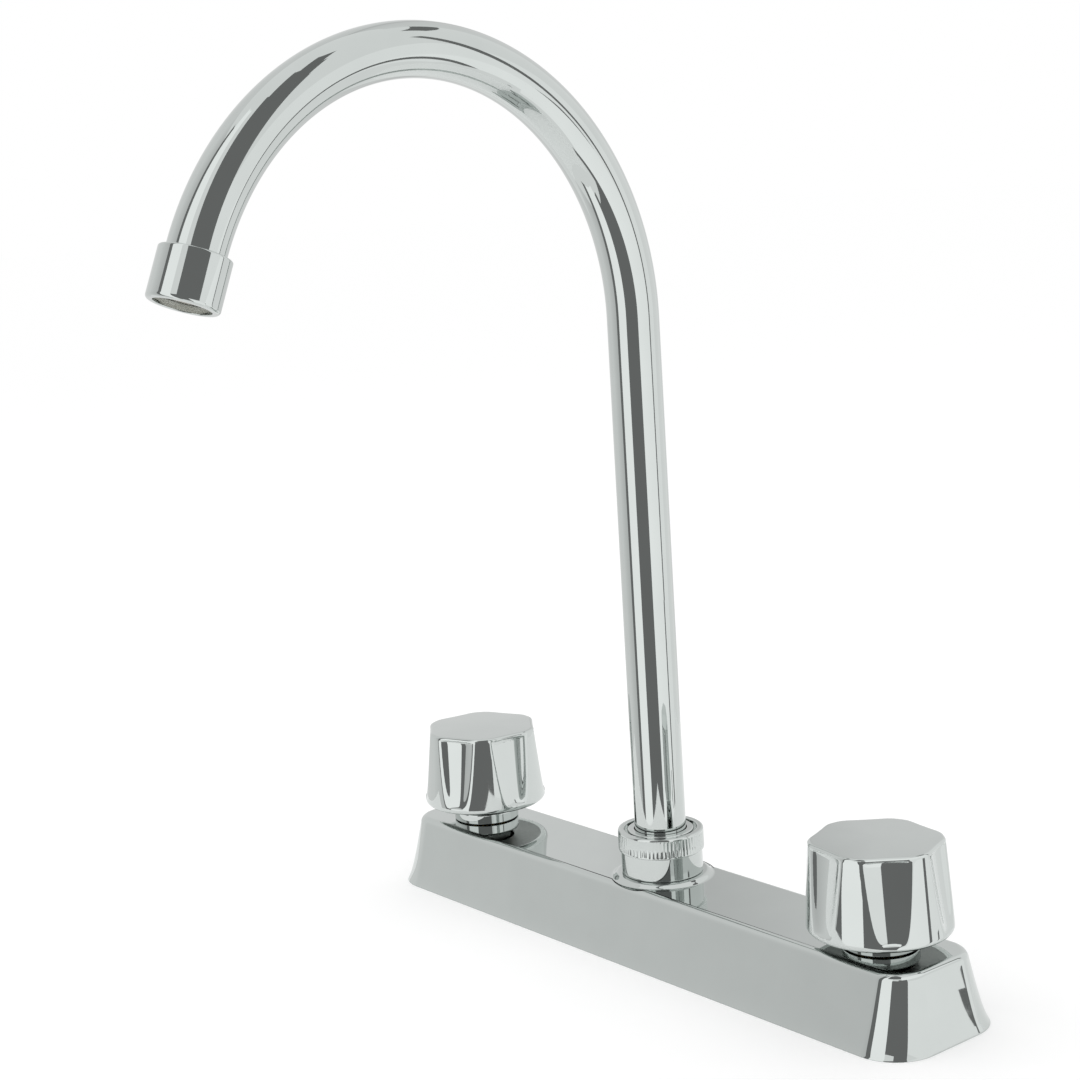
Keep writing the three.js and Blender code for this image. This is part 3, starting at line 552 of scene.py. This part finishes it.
def valve_hole_rings(mesh, size, x, count=64):
    """The hole for a valve's neck, with a softened edge."""
    edge = 0.0003
    levels = ((edge + GUARD, 0), (edge, 0), (edge * 0.3, edge * 0.3), (0, edge), (0, size.wall))
    angles = circle(count)
    rings = [ring(mesh, angles, size.valve_hole + out, size.height - down, (x, 0)) for out, down in levels]
    skin(mesh, rings)
    return rings[0], rings[-1]


class FAUCET_OT_cover(Operator):
    """Make the long chromed cover with its pad and holes"""

    bl_idname = "faucet.cover"
    bl_label = "Deck cover"

    def execute(self, context):
        size = context.scene.faucet_cover
        mesh = bmesh.new()
        foot, top = cover_outside(mesh, size)
        inner_foot, ceiling = cover_inside(mesh, size)
        skin(mesh, [foot, inner_foot])
        holes = [pad_rings(mesh, size)]
        for node in COVER_NUTS:
            holes.append(valve_hole_rings(mesh, size, middle_of(node).x))
        flat_between(mesh, [top, *(upper for upper, _ in holes)])
        flat_between(mesh, [ceiling, *(lower for _, lower in holes)])
        finished_piece(mesh, "cover_shell", "base", ["deck_cover"], "chrome")
        return {"FINISHED"}


class FAUCET_OT_cover_nuts(Operator):
    """Make the round nuts that hold the cover down under the knobs"""

    bl_idname = "faucet.cover_nuts"
    bl_label = "Cover nuts"

    def execute(self, context):
        size = context.scene.faucet_cover
        for node in COVER_NUTS:
            low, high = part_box(node)
            section = [
                (size.valve_hole, low.z, 0),
                (size.nut_radius, low.z, 0.0003),
                (size.nut_radius, high.z, 0.0007),
                (size.valve_hole, high.z, 0.0004),
            ]
            mesh = bmesh.new()
            turned(mesh, rounded(section), 96, (middle_of(node).x, 0))
            finished_piece(mesh, f"{node}_ring", "base", [node], "chrome")
        return {"FINISHED"}


# ---------------------------------------------------------------- knobs


def soft_minimum(a, b, softness):
    """The smaller of two lengths, with the corner between them rounded off."""
    near = max(softness - abs(a - b), 0.0) / softness
    return min(a, b) - near * near * softness / 4


def cone_at(size, height):
    """Radius of the knob's plain cone at a height above its lower edge."""
    return size.rim_radius + (size.crown_radius - size.rim_radius) * height / size.height


def shallower(cone, depth, hollow, factor):
    """A flute that is as wide as before and less deep, so flatter across."""
    centre = cone - depth + hollow
    spread_cosine = (centre**2 + cone**2 - hollow**2) / (2 * cone * centre)
    floor = cone - depth * factor
    flatter = (floor**2 + cone**2 - 2 * cone * floor * spread_cosine) / (2 * (cone * spread_cosine - floor))
    return depth * factor, flatter


def flute_at(size, height):
    """Depth and hollow radius of the flutes at a height above the knob's lower edge."""
    run = (height - size.flute_end) / (size.height - size.flute_end)
    depth = size.flute_depth * math.copysign(abs(run) ** size.flute_run_out, run)
    hollow = size.flute_foot + (size.flute_top - size.flute_foot) * height / size.height
    wall_top = size.height - size.dome - size.crown_edge
    near = min(max(1 - (wall_top - height) / size.brow, 0.0), 1.0)
    if near:
        left = 1 - eased(near) * (1 - size.brow_share)
        depth, hollow = shallower(cone_at(size, height), depth, hollow, left)
    return depth, hollow


def wall_radius(size, height, turn):
    """Radius of the knob's fluted wall. A ridge faces angle 0."""
    cone = cone_at(size, height)
    depth, hollow = flute_at(size, height)
    pitch = FULL_TURN / size.flutes
    off = (turn % pitch) - pitch / 2
    centre = cone - depth + hollow
    across = centre * math.sin(off)
    if abs(across) >= hollow:
        return cone
    flute = centre * math.cos(off) - math.sqrt(hollow**2 - across**2)
    return soft_minimum(cone, flute, size.crease)


def knob_wall_levels(size):
    """(height, inset) of the outer levels, from the lower face over the wall to the top face."""
    rim_steps, wall_steps, brow_steps, crown_steps = 7, 30, 8, 9
    crowding = 1.5  # brings the levels of the wall closer together where the flutes run out
    levels = []
    rim = size.rim_edge
    for i in range(rim_steps + 1):
        turn = QUARTER_TURN * i / rim_steps
        levels.append((rim * (1 - math.cos(turn)), rim * (1 - math.sin(turn))))
    low, high = rim, size.height - size.dome - size.crown_edge
    brow = high - size.brow
    for i in range(1, wall_steps + 1):
        levels.append((low + (brow - low) * (i / wall_steps) ** crowding, 0.0))
    for i in range(1, brow_steps + 1):
        levels.append((brow + (high - brow) * i / brow_steps, 0.0))
    edge = size.crown_edge
    for i in range(1, crown_steps + 1):
        turn = QUARTER_TURN * i / crown_steps
        levels.append((high + edge * math.sin(turn), edge * (1 - math.cos(turn))))
    return levels


def fluted(size, height, inset):
    """The wall's radius by angle at one level, drawn in by an inset."""
    return lambda turn: wall_radius(size, height, turn) - inset


def smaller(radius, part, pull=0.1):
    """The radius by angle of a level of the top face, a part of the way out and pulled in a little."""
    return lambda turn: radius(turn) * part * (1 - (1 - part) * pull)


def knob_outside(mesh, size, angles, foot):
    """The fluted wall and the bulging top face. Gives the lowest ring."""
    rings = []
    for height, inset in knob_wall_levels(size):
        rings.append(ring(mesh, angles, fluted(size, height, inset), foot + height))
    crown = size.height - size.dome
    edge = fluted(size, crown, size.crown_edge)
    for part in (0.97, 0.8, 0.6, 0.4, 0.2):
        height = crown + size.dome * (1 - part**2)
        rings.append(ring(mesh, angles, smaller(edge, part), foot + height))
    skin(mesh, rings)
    cap(mesh, rings[-1], (0, 0, foot + size.height))
    return rings[0]


def knob_inside(mesh, size, angles, foot, lowest):
    """The lower face, the flange, the hollow and the hub that holds the insert."""
    recess = 0.0003  # how far the flange stands above the lower edge
    bevel = 0.0002  # round the flange's opening
    edge = 0.0003  # round the hub's foot
    root = 0.0005  # where the hub meets the ceiling
    corner = 0.001  # where the wall meets the ceiling
    ceiling = size.height - size.top_wall
    mouth = size.rim_radius - size.rim_edge - size.wall * 0.4
    shoulder = size.crown_radius - size.flute_depth - size.wall
    hub_foot = ceiling - size.hub_reach
    flange = recess + size.foot_flange
    section = [
        (size.foot_bore + bevel, recess),
        (size.foot_bore, recess + bevel),
        (size.foot_bore, flange),
        (mouth - bevel, flange),
        ((mouth + shoulder) / 2 + edge, ceiling / 2),
        (shoulder, ceiling - corner),
        (shoulder - corner, ceiling),
        (size.hub_radius + root, ceiling),
        (size.hub_radius, ceiling - root),
        (size.hub_radius, hub_foot + edge),
        (size.hub_radius - edge, hub_foot),
        (size.hub_bore + edge, hub_foot),
        (size.hub_bore, hub_foot + edge),
        (size.hub_bore, ceiling),
    ]
    lined = [ring(mesh, angles, r, foot + z) for r, z in section]
    step = ring(mesh, angles, mouth, foot + recess)
    skin(mesh, [lowest, step])
    skin(mesh, [step, lined[0]], material=1)
    skin(mesh, lined, material=1)
    cap(mesh, lined[-1], (0, 0, foot + ceiling), material=1)


def make_knob(scene, label, side_x, turn, rise):
    """One knob over its valve, turned and raised as it stands at rest."""
    size = scene.faucet_knob
    foot = scene.faucet_cover.height + size.lift + rise
    angles = circle(size.flutes * 52)  # this many points to a flute
    mesh = bmesh.new()
    lowest = knob_outside(mesh, size, angles, foot)
    knob_inside(mesh, size, angles, foot, lowest)
    place = Matrix.Translation((side_x, 0, 0)) @ Matrix.Rotation(turn, 4, "Z")
    name, body, nodes = f"fluted_knob_{label}", f"{label}_knob", [f"knob_{label}"]
    # the inside takes the dull plating, whose grey is painted shade
    finished_piece(mesh, name, body, nodes, "chrome", place, inner=["lining"])


class FAUCET_OT_knobs(Operator):
    """Make the two fluted knobs, polished outside, and inside dull plating in the grey of painted shade"""

    bl_idname = "faucet.knobs"
    bl_label = "Knobs"

    def execute(self, context):
        size = context.scene.faucet_knob
        make_knob(context.scene, "hot", middle_of("cover_nut_hot").x, size.hot_turn, size.hot_rise)
        make_knob(context.scene, "cold", middle_of("cover_nut_cold").x, size.cold_turn, 0.0)
        return {"FINISHED"}


# ---------------------------------------------------------------- coupling nut and trim ring


def knurl_levels(size):
    """Heights at which the band's plain foot ends, the ribs start and end, and its plain top starts."""
    plain_foot, plain_top, fade = 0.0006, 0.0009, 0.0003
    foot = size.foot + size.shank_height + plain_foot
    top = size.foot + size.shank_height + size.band_height - plain_top
    return foot, foot + fade, top - fade, top


def nut_section(size, tube_radius):
    """The nut's section: shank, step, knurled band, rim, recess, inward flange and bore."""
    band_foot = size.foot + size.shank_height
    top = band_foot + size.band_height
    return rounded(
        [
            (size.bore, size.foot, 0.0002),
            (size.shank_radius, size.foot, 0.0003),
            (size.shank_radius, band_foot, 0.0001),
            (size.band_radius, band_foot, 0.0003),
            *((size.band_radius, height, 0) for height in knurl_levels(size)),
            (size.band_radius, top, 0.0007),
            (size.recess_radius, top, 0.0003),
            (size.recess_radius, size.flange_top, 0.0002),
            (tube_radius + CLEARANCE, size.flange_top, 0),
            (tube_radius + CLEARANCE, size.flange_top - size.flange, 0),
            (size.bore, size.flange_top - size.flange, 0),
        ]
    )


def ribbed(size, radius, height, fullness=0.8):
    """The radius of one level of the nut, as a function of the angle where the ribs are."""
    plain_foot, ribs_foot, ribs_top, plain_top = knurl_levels(size)
    between = (plain_foot + ribs_foot) / 2 < height < (ribs_top + plain_top) / 2
    if not between or radius < size.band_radius - TINY:
        return radius
    return lambda turn: radius - size.knurl_depth * (0.5 - 0.5 * math.cos(size.knurls * turn)) ** fullness


class FAUCET_OT_coupling_nut(Operator):
    """Make the knurled coupling nut and the trim ring in its recess"""

    bl_idname = "faucet.coupling_nut"
    bl_label = "Coupling nut"

    def execute(self, context):
        size = context.scene.faucet_nut
        tube_radius = context.scene.faucet_spout.radius
        angles = circle(size.knurls * 8)  # this many points to a rib
        mesh = bmesh.new()
        section = nut_section(size, tube_radius)
        skin(mesh, [ring(mesh, angles, ribbed(size, r, z), z) for r, z in section], closed=True)
        finished_piece(mesh, "knurled_nut", "base", ["coupling_nut"], "chrome", crease=50)

        low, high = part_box("spout_trim_ring")
        inner = tube_radius + CLEARANCE
        section = [
            (inner, low.z, 0),
            (size.ring_radius, low.z, 0.0002),
            (size.ring_radius, high.z, 0.0005),
            (inner, high.z, 0.0001),
        ]
        mesh = bmesh.new()
        turned(mesh, rounded(section), 96)
        finished_piece(mesh, "tube_trim_ring", "spout", ["spout_trim_ring"], "chrome")
        return {"FINISHED"}


# ---------------------------------------------------------------- spout


def swivel(size):
    """Turns the spout to where it stands at rest."""
    return Matrix.Rotation(size.turn, 4, "Z")


def bend_height(size):
    """Height of the middle of the bend."""
    return tube_top - size.bend - size.radius


def spout_stations(size):
    """Places along the tube's centre line, each with its angle of bend."""
    centre = bend_height(size)
    rise = centre - size.foot
    stations = [(0.0, size.foot + rise * part, 0.0) for part in (0, 0.004, 0.25, 0.5, 0.75, 0.992)]
    steps = 120
    for i in range(steps + 1):
        turn = size.sweep * i / steps
        stations.append((-size.bend * (1 - math.cos(turn)), centre + size.bend * math.sin(turn), turn))
    y, z, turn = stations[-1]
    stations.append((y - size.tip * math.sin(turn), z + size.tip * math.cos(turn), turn))
    return stations


def tube_ring(mesh, station, radius, count=96):
    """A ring of points square to the tube's centre line."""
    y, z, turn = station
    points = []
    for a in circle(count):
        out = radius * math.cos(a)
        place = (radius * math.sin(a), y + out * math.cos(turn), z + out * math.sin(turn))
        points.append(mesh.verts.new(place))
    return points


def tip_place(size):
    """Where the aerator hangs: its own +Z runs back up the tube."""
    turn = size.sweep
    y = -size.bend * (1 - math.cos(turn))
    z = bend_height(size) + size.bend * math.sin(turn)
    return swivel(size) @ Matrix.Translation((0, y, z)) @ Matrix.Rotation(turn - math.pi, 4, "X")


class FAUCET_OT_spout(Operator):
    """Make the gooseneck tube"""

    bl_idname = "faucet.spout"
    bl_label = "Spout"

    def execute(self, context):
        size = context.scene.faucet_spout
        mesh = bmesh.new()
        stations = spout_stations(size)
        outside = [tube_ring(mesh, s, size.radius) for s in stations]
        inside = [tube_ring(mesh, s, size.radius - size.wall) for s in reversed(stations)]
        skin(mesh, outside + inside, closed=True)
        finished_piece(mesh, "gooseneck_tube", "spout", ["spout_tube"], "chrome", swivel(size))
        return {"FINISHED"}


def hole_centres(count, pitch, reach=5):
    """The nearest places to the middle on a six-sided grid."""
    places = []
    for row in range(-reach, reach + 1):
        for column in range(-reach, reach + 1):
            places.append(((column + row / 2) * pitch, row * pitch * math.sqrt(0.75)))
    places.sort(key=lambda p: (round(math.hypot(*p), 6), p))
    return places[:count]


class FAUCET_OT_aerator(Operator):
    """Make the aerator's collar and the strainer in its mouth"""

    bl_idname = "faucet.aerator"
    bl_label = "Aerator"

    def execute(self, context):
        size = context.scene.faucet_spout
        place = tip_place(size)
        bore = size.collar_radius - size.collar_wall
        foot = -size.collar_length
        section = [
            (size.radius + CLEARANCE, 0.0, 0.0002),
            (size.collar_radius, 0.0, 0.0006),
            (size.collar_radius, foot, size.lip_edge),
            (bore - size.lip, foot, 0.0003),
            (bore - size.lip, foot + size.lip, 0.0001),
            (bore, foot + size.lip, 0),
            (bore, -size.tip, 0),
            (size.radius + CLEARANCE, -size.tip, 0),
        ]
        mesh = bmesh.new()
        turned(mesh, rounded(section, steps=7), 112)
        finished_piece(mesh, "aerator_collar", "spout", ["aerator_housing"], "chrome", place)
        self.make_strainer(size, place, bore - CLEARANCE)
        return {"FINISHED"}

    def make_strainer(self, size, place, radius):
        """A cup whose floor is pierced by round holes."""
        foot = -size.collar_length + size.lip + size.strainer_seat
        floor, top = foot + size.strainer_floor, -size.strainer_top
        edge, bevel = 0.0003, 0.0002
        mesh = bmesh.new()
        wide, holes = circle(72), circle(14)
        section = ((radius - edge, foot), (radius, foot + edge), (radius, top))
        outer = [ring(mesh, wide, r, z) for r, z in section]
        inner = [ring(mesh, wide, radius - size.strainer_wall, z) for z in (top, floor)]
        skin(mesh, outer + inner)
        lower, upper = [outer[0]], [inner[-1]]
        bore = size.strainer_hole
        for centre in hole_centres(size.strainer_holes, size.strainer_pitch):
            section = ((bore + bevel, foot), (bore, foot + bevel), (bore, floor))
            walls = [ring(mesh, holes, r, z, centre) for r, z in section]
            skin(mesh, walls)
            lower.append(walls[0])
            upper.append(walls[-1])
        flat_between(mesh, lower)
        flat_between(mesh, upper)
        nodes = ["aerator_strainer"]
        finished_piece(mesh, "pierced_strainer", "spout", nodes, "white_plastic", place)


# ---------------------------------------------------------------- parts inside


class FAUCET_OT_inside(Operator):
    """Give the brass, copper, ceramic, rubber and plastic parts inside their finishes, but the cartridges the
    dull grey of painted shade
    """

    bl_idname = "faucet.inside"
    bl_label = "Parts inside"

    def execute(self, context):
        looks = finishes()
        for part in frame["record"]["subparts"]:
            node = frame["nodes"][part["node"]]
            if part["material_slot"] not in looks:
                raise ValueError(f"no finish for {part['material_slot']}")
            # the cartridges take the dull grey of painted shade instead of their brass
            look = looks["lining" if part["node"] in SHADE_GREY_CARTRIDGES else part["material_slot"]]
            for place in node.material_slots:
                place.material = look
        return {"FINISHED"}


# ---------------------------------------------------------------- stage


def panel_glow():
    """Panels that only glow, as bright as their points say."""
    material = bpy.data.materials.new("panel_glow")
    material.use_nodes = True
    tree = material.node_tree
    tree.nodes.clear()
    brightness = tree.nodes.new("ShaderNodeAttribute")
    brightness.attribute_name = "glow"
    light = feed(tree, tree.nodes.new("ShaderNodeEmission"), {"Strength": brightness.outputs["Fac"]})
    feed(tree, tree.nodes.new("ShaderNodeOutputMaterial"), {"Surface": light.outputs["Emission"]})
    return material


def only_in_reflections(panel):
    """The panel shows in polished metal, and neither lights nor shades anything else."""
    for kind in ("camera", "diffuse", "shadow", "transmission", "volume_scatter"):
        setattr(panel, f"visible_{kind}", False)


def stage_object(name, mesh, material):
    data = bpy.data.meshes.new(name)
    mesh.to_mesh(data)
    mesh.free()
    data.materials.append(material)
    thing = bpy.data.objects.new(name, data)
    bpy.context.scene.collection.objects.link(thing)
    return thing


def around_axis(bearing, out, height):
    """A place by its bearing in degrees, its distance from the spout's axis and its height."""
    return out * math.cos(math.radians(bearing)), out * math.sin(math.radians(bearing)), height


def dome(reach, middle):
    """Places on a round dome about a height on the spout's axis, by bearing and rise in degrees."""

    def place(bearing, rise):
        steep = math.radians(rise)
        return around_axis(bearing, reach * math.cos(steep), middle + reach * math.sin(steep))

    return place


def upright(reach):
    """Places on an upright round wall, by bearing in degrees and height in metres."""
    return lambda bearing, height: around_axis(bearing, reach, height)


def tent_panel(name, place, material, bearings, span, brightness, rows=12, column_width=3):
    """Part of the tent between two bearings and two heights, with its brightness at either side."""
    mesh = bmesh.new()
    glow = mesh.verts.layers.float.new("glow")
    columns = max(round((bearings[1] - bearings[0]) / column_width), 1)
    grid = []
    for i in range(rows + 1):
        line = []
        for j in range(columns + 1):
            along = j / columns
            bearing = bearings[0] + (bearings[1] - bearings[0]) * along
            point = mesh.verts.new(place(bearing, span[0] + (span[1] - span[0]) * i / rows))
            point[glow] = brightness[0] + (brightness[1] - brightness[0]) * along
            line.append(point)
        grid.append(line)
    for lower, upper in zip(grid, grid[1:]):
        for j in range(columns):
            mesh.faces.new((lower[j], lower[j + 1], upper[j + 1], upper[j]))
    only_in_reflections(stage_object(name, mesh, material))


def make_tent(settings):
    """The tent as the metal shows it: even grey behind, lit panels beside a tall dark opening in front.

    Each part has its bearings in degrees, its span of heights and its brightness at either side.
    Heights are in degrees on the walls and boards, and in metres on the strips.
    """
    dark, bright = (settings.dark,) * 2, (settings.bright,) * 2
    fading = (settings.bright, 0.95 * settings.bright)
    lit = (1.12, 1.1)
    walls = {
        "back": ((100, 131), (-30, 60), (0.9, 0.79)),
        "back_fold": ((131, 136.5), (-30, 60), (0.79, 0.64)),
        "back_fold_left": ((136.5, 140), (-30, 60), (0.64, 0.82)),
        "back_left": ((140, 205), (-30, 60), (0.82, 0.88)),
        "left": ((205, 241), (-45, 60), (0.88, 0.68)),
        "left_seam": ((241, 253), (-56, 66), dark),
        "left_panel": ((253, 288), (-56, 74), bright),
        "opening": ((288, 339), (-47, 24), dark),
        "opening_brow": ((309, 339), (24, 36), dark),
        "opening_foot_left": ((288, 298), (-52, -47), dark),
        "opening_foot_right": ((330, 339), (-60, -47), dark),
        "right_panel": ((339, 390), (-56, -12.8), fading),
        "right_seam": ((390, 395), (-25, -12.8), dark),
        "right_side": ((339, 420), (-12.8, 15), lit),
        "right_side_low": ((395, 420), (-40, -12.8), lit),
        "right_spot": ((433, 476), (47, 54), dark),
    }
    boards = {
        "opening_board": ((288, 339), (-4, 50), dark),
        "opening_board_arch": ((292, 337), (50, 61), dark),
        "opening_board_tip": ((303, 332), (61, 69), dark),
    }
    strips = {
        "right_strip": ((339, 390), (0.085, 0.235), fading),
        "right_strip_seam": ((390, 395), (0.085, 0.5), dark),
        "end_strip": ((380.8, 382.6), (-0.009, 0.0085), dark),
        "end_strip_foot": ((380.0, 380.8), (-0.0055, -0.001), dark),
    }
    groups_at = (
        (dome(settings.wall_reach, settings.middle), walls),
        (dome(settings.board_reach, settings.middle), boards),
        (upright(settings.strip_reach), strips),
    )
    material = panel_glow()
    for place, group in groups_at:
        for name, shape in group.items():
            tent_panel(name, place, material, *shape)


def is_any(tree, *kinds):
    """1 for rays of any of the given kinds, and 0 for all others."""
    rays = tree.nodes.new("ShaderNodeLightPath").outputs
    result = rays[kinds[0]]
    for kind in kinds[1:]:
        larger = tree.nodes.new("ShaderNodeMath")
        larger.operation = "MAXIMUM"
        result = feed(tree, larger, {0: result, 1: rays[kind]}).outputs["Value"]
    return result


def white_room(scene, settings):
    """Plain white all round, as strong as the settings say where it lights the floor."""
    world = bpy.data.worlds.new("white_room")
    scene.world = world
    world.use_nodes = True
    tree = world.node_tree
    seen = is_any(tree, "Is Camera Ray", "Is Glossy Ray", "Is Transmission Ray")
    strength = tree.nodes.new("ShaderNodeMapRange")
    feed(tree, strength, {"Value": seen, "To Min": settings.room, "To Max": 1.0})
    feed(tree, tree.nodes["Background"], {"Color": (1, 1, 1, 1), "Strength": strength.outputs["Result"]})


def floor_look(settings):
    """A pale floor that keeps the shadow and looks white to the camera and in the metal."""
    material, tree, shader = graph("pale_floor")
    grain = noise(tree, surface_place(tree), 30.0)
    seen = is_any(tree, "Is Camera Ray", "Is Glossy Ray")
    lift = tree.nodes.new("ShaderNodeMapRange")
    feed(tree, lift, {"Value": seen, "To Max": settings.floor_lift})
    pale = settings.floor
    inputs = {
        "Base Color": tint(tree, grain, (pale * 0.995,) * 3, (pale,) * 3),
        "Roughness": 0.9,
        "Specular IOR Level": 0.0,
        "Emission Color": (1, 1, 1, 1),
        "Emission Strength": lift.outputs["Result"],
    }
    feed(tree, shader, inputs)
    return material


def pale_floor(settings):
    """A sheet under the faucet, which the metal shows, and a wide floor round it, which it doesn't."""
    material = floor_look(settings)
    left, right, front, back = -0.25, 0.15, -0.15, 0.3
    width = 40  # of the floor, in widths of the sheet
    corners = [(right, front), (right, back), (left, back), (left, front)]
    sheet = bmesh.new()
    sheet.faces.new([sheet.verts.new((x, y, 0)) for x, y in corners])
    stage_object("pale_sheet", sheet, material)
    around = bmesh.new()
    inner = [around.verts.new((x, y, 0)) for x, y in corners]
    outer = [around.verts.new((width * x, width * y, 0)) for x, y in corners]
    skin(around, [inner, outer])
    stage_object("pale_floor", around, material).visible_glossy = False


def soft_lamp(scene, settings):
    """A wide lamp above the faucet's front left, which the metal doesn't show."""
    data = bpy.data.lights.new("soft_lamp", "AREA")
    data.shape = "DISK"
    data.size = settings.lamp_width
    data.energy = settings.lamp
    lamp = bpy.data.objects.new("soft_lamp", data)
    lamp.location = (-0.35, -0.25, 1.1)
    aim = Vector((0, 0, 0.05)) - lamp.location
    lamp.rotation_euler = aim.to_track_quat("-Z", "Y").to_euler()
    lamp.visible_glossy = False
    lamp.visible_camera = False
    scene.collection.objects.link(lamp)


def photo_camera(scene):
    """The photograph's own place, direction and framing."""
    bearing, tilt, roll = (math.radians(a) for a in (141.8918, -4.7033, 3.4102))
    data = bpy.data.cameras.new("photo_camera")
    data.sensor_width = 36.0
    data.lens = 70.078
    data.shift_x = 0.046296
    data.shift_y = -0.175926
    data.clip_end = 50.0
    camera = bpy.data.objects.new("photo_camera", data)
    aim = Matrix.Rotation(bearing - QUARTER_TURN, 4, "Z") @ Matrix.Rotation(QUARTER_TURN + tilt, 4, "X")
    place = Matrix.Translation((0.545279, -0.491889, 0.275839))
    camera.matrix_world = place @ aim @ Matrix.Rotation(-roll, 4, "Z")
    scene.collection.objects.link(camera)
    scene.camera = camera


class FAUCET_OT_stage(Operator):
    """Make the pale floor, the soft tent with its dark opening, the lamp and the camera"""

    bl_idname = "faucet.stage"
    bl_label = "Stage"

    def execute(self, context):
        scene = context.scene
        settings = scene.faucet_stage
        scene.view_settings.view_transform = "Standard"
        white_room(scene, settings)
        pale_floor(settings)
        soft_lamp(scene, settings)
        make_tent(settings)
        photo_camera(scene)
        return {"FINISHED"}


# ---------------------------------------------------------------- sidebar and registration


class FAUCET_PT_tools(Panel):
    bl_label = "Two handle kitchen faucet"
    bl_idname = "FAUCET_PT_tools"
    bl_space_type = "VIEW_3D"
    bl_region_type = "UI"
    bl_category = "Faucet"

    def draw(self, context):
        for tool in tools:
            self.layout.operator(tool.bl_idname, text=tool.bl_label)
        for group in groups:
            settings = getattr(context.scene, group)
            column = self.layout.column(heading=group)
            for name in settings.__annotations__:
                column.prop(settings, name)


tools = (
    FAUCET_OT_cover,
    FAUCET_OT_cover_nuts,
    FAUCET_OT_knobs,
    FAUCET_OT_coupling_nut,
    FAUCET_OT_spout,
    FAUCET_OT_aerator,
    FAUCET_OT_inside,
    FAUCET_OT_stage,
)

groups = {
    "faucet_cover": CoverSizes,
    "faucet_knob": KnobSizes,
    "faucet_nut": NutSizes,
    "faucet_spout": SpoutSizes,
    "faucet_finishes": Finishes,
    "faucet_stage": StageSettings,
}


def register():
    for kind in (*groups.values(), *tools, FAUCET_PT_tools):
        bpy.utils.register_class(kind)
    for name, kind in groups.items():
        setattr(bpy.types.Scene, name, PointerProperty(type=kind))


def unregister():
    for name in groups:
        delattr(bpy.types.Scene, name)
    for kind in reversed((*groups.values(), *tools, FAUCET_PT_tools)):
        bpy.utils.unregister_class(kind)


def main():
    register()
    bpy.ops.faucet.cover()
    bpy.ops.faucet.cover_nuts()
    bpy.ops.faucet.knobs()
    bpy.ops.faucet.coupling_nut()
    bpy.ops.faucet.spout()
    bpy.ops.faucet.aerator()
    bpy.ops.faucet.inside()
    bpy.ops.faucet.stage()


if __name__ == "__main__":
    main()
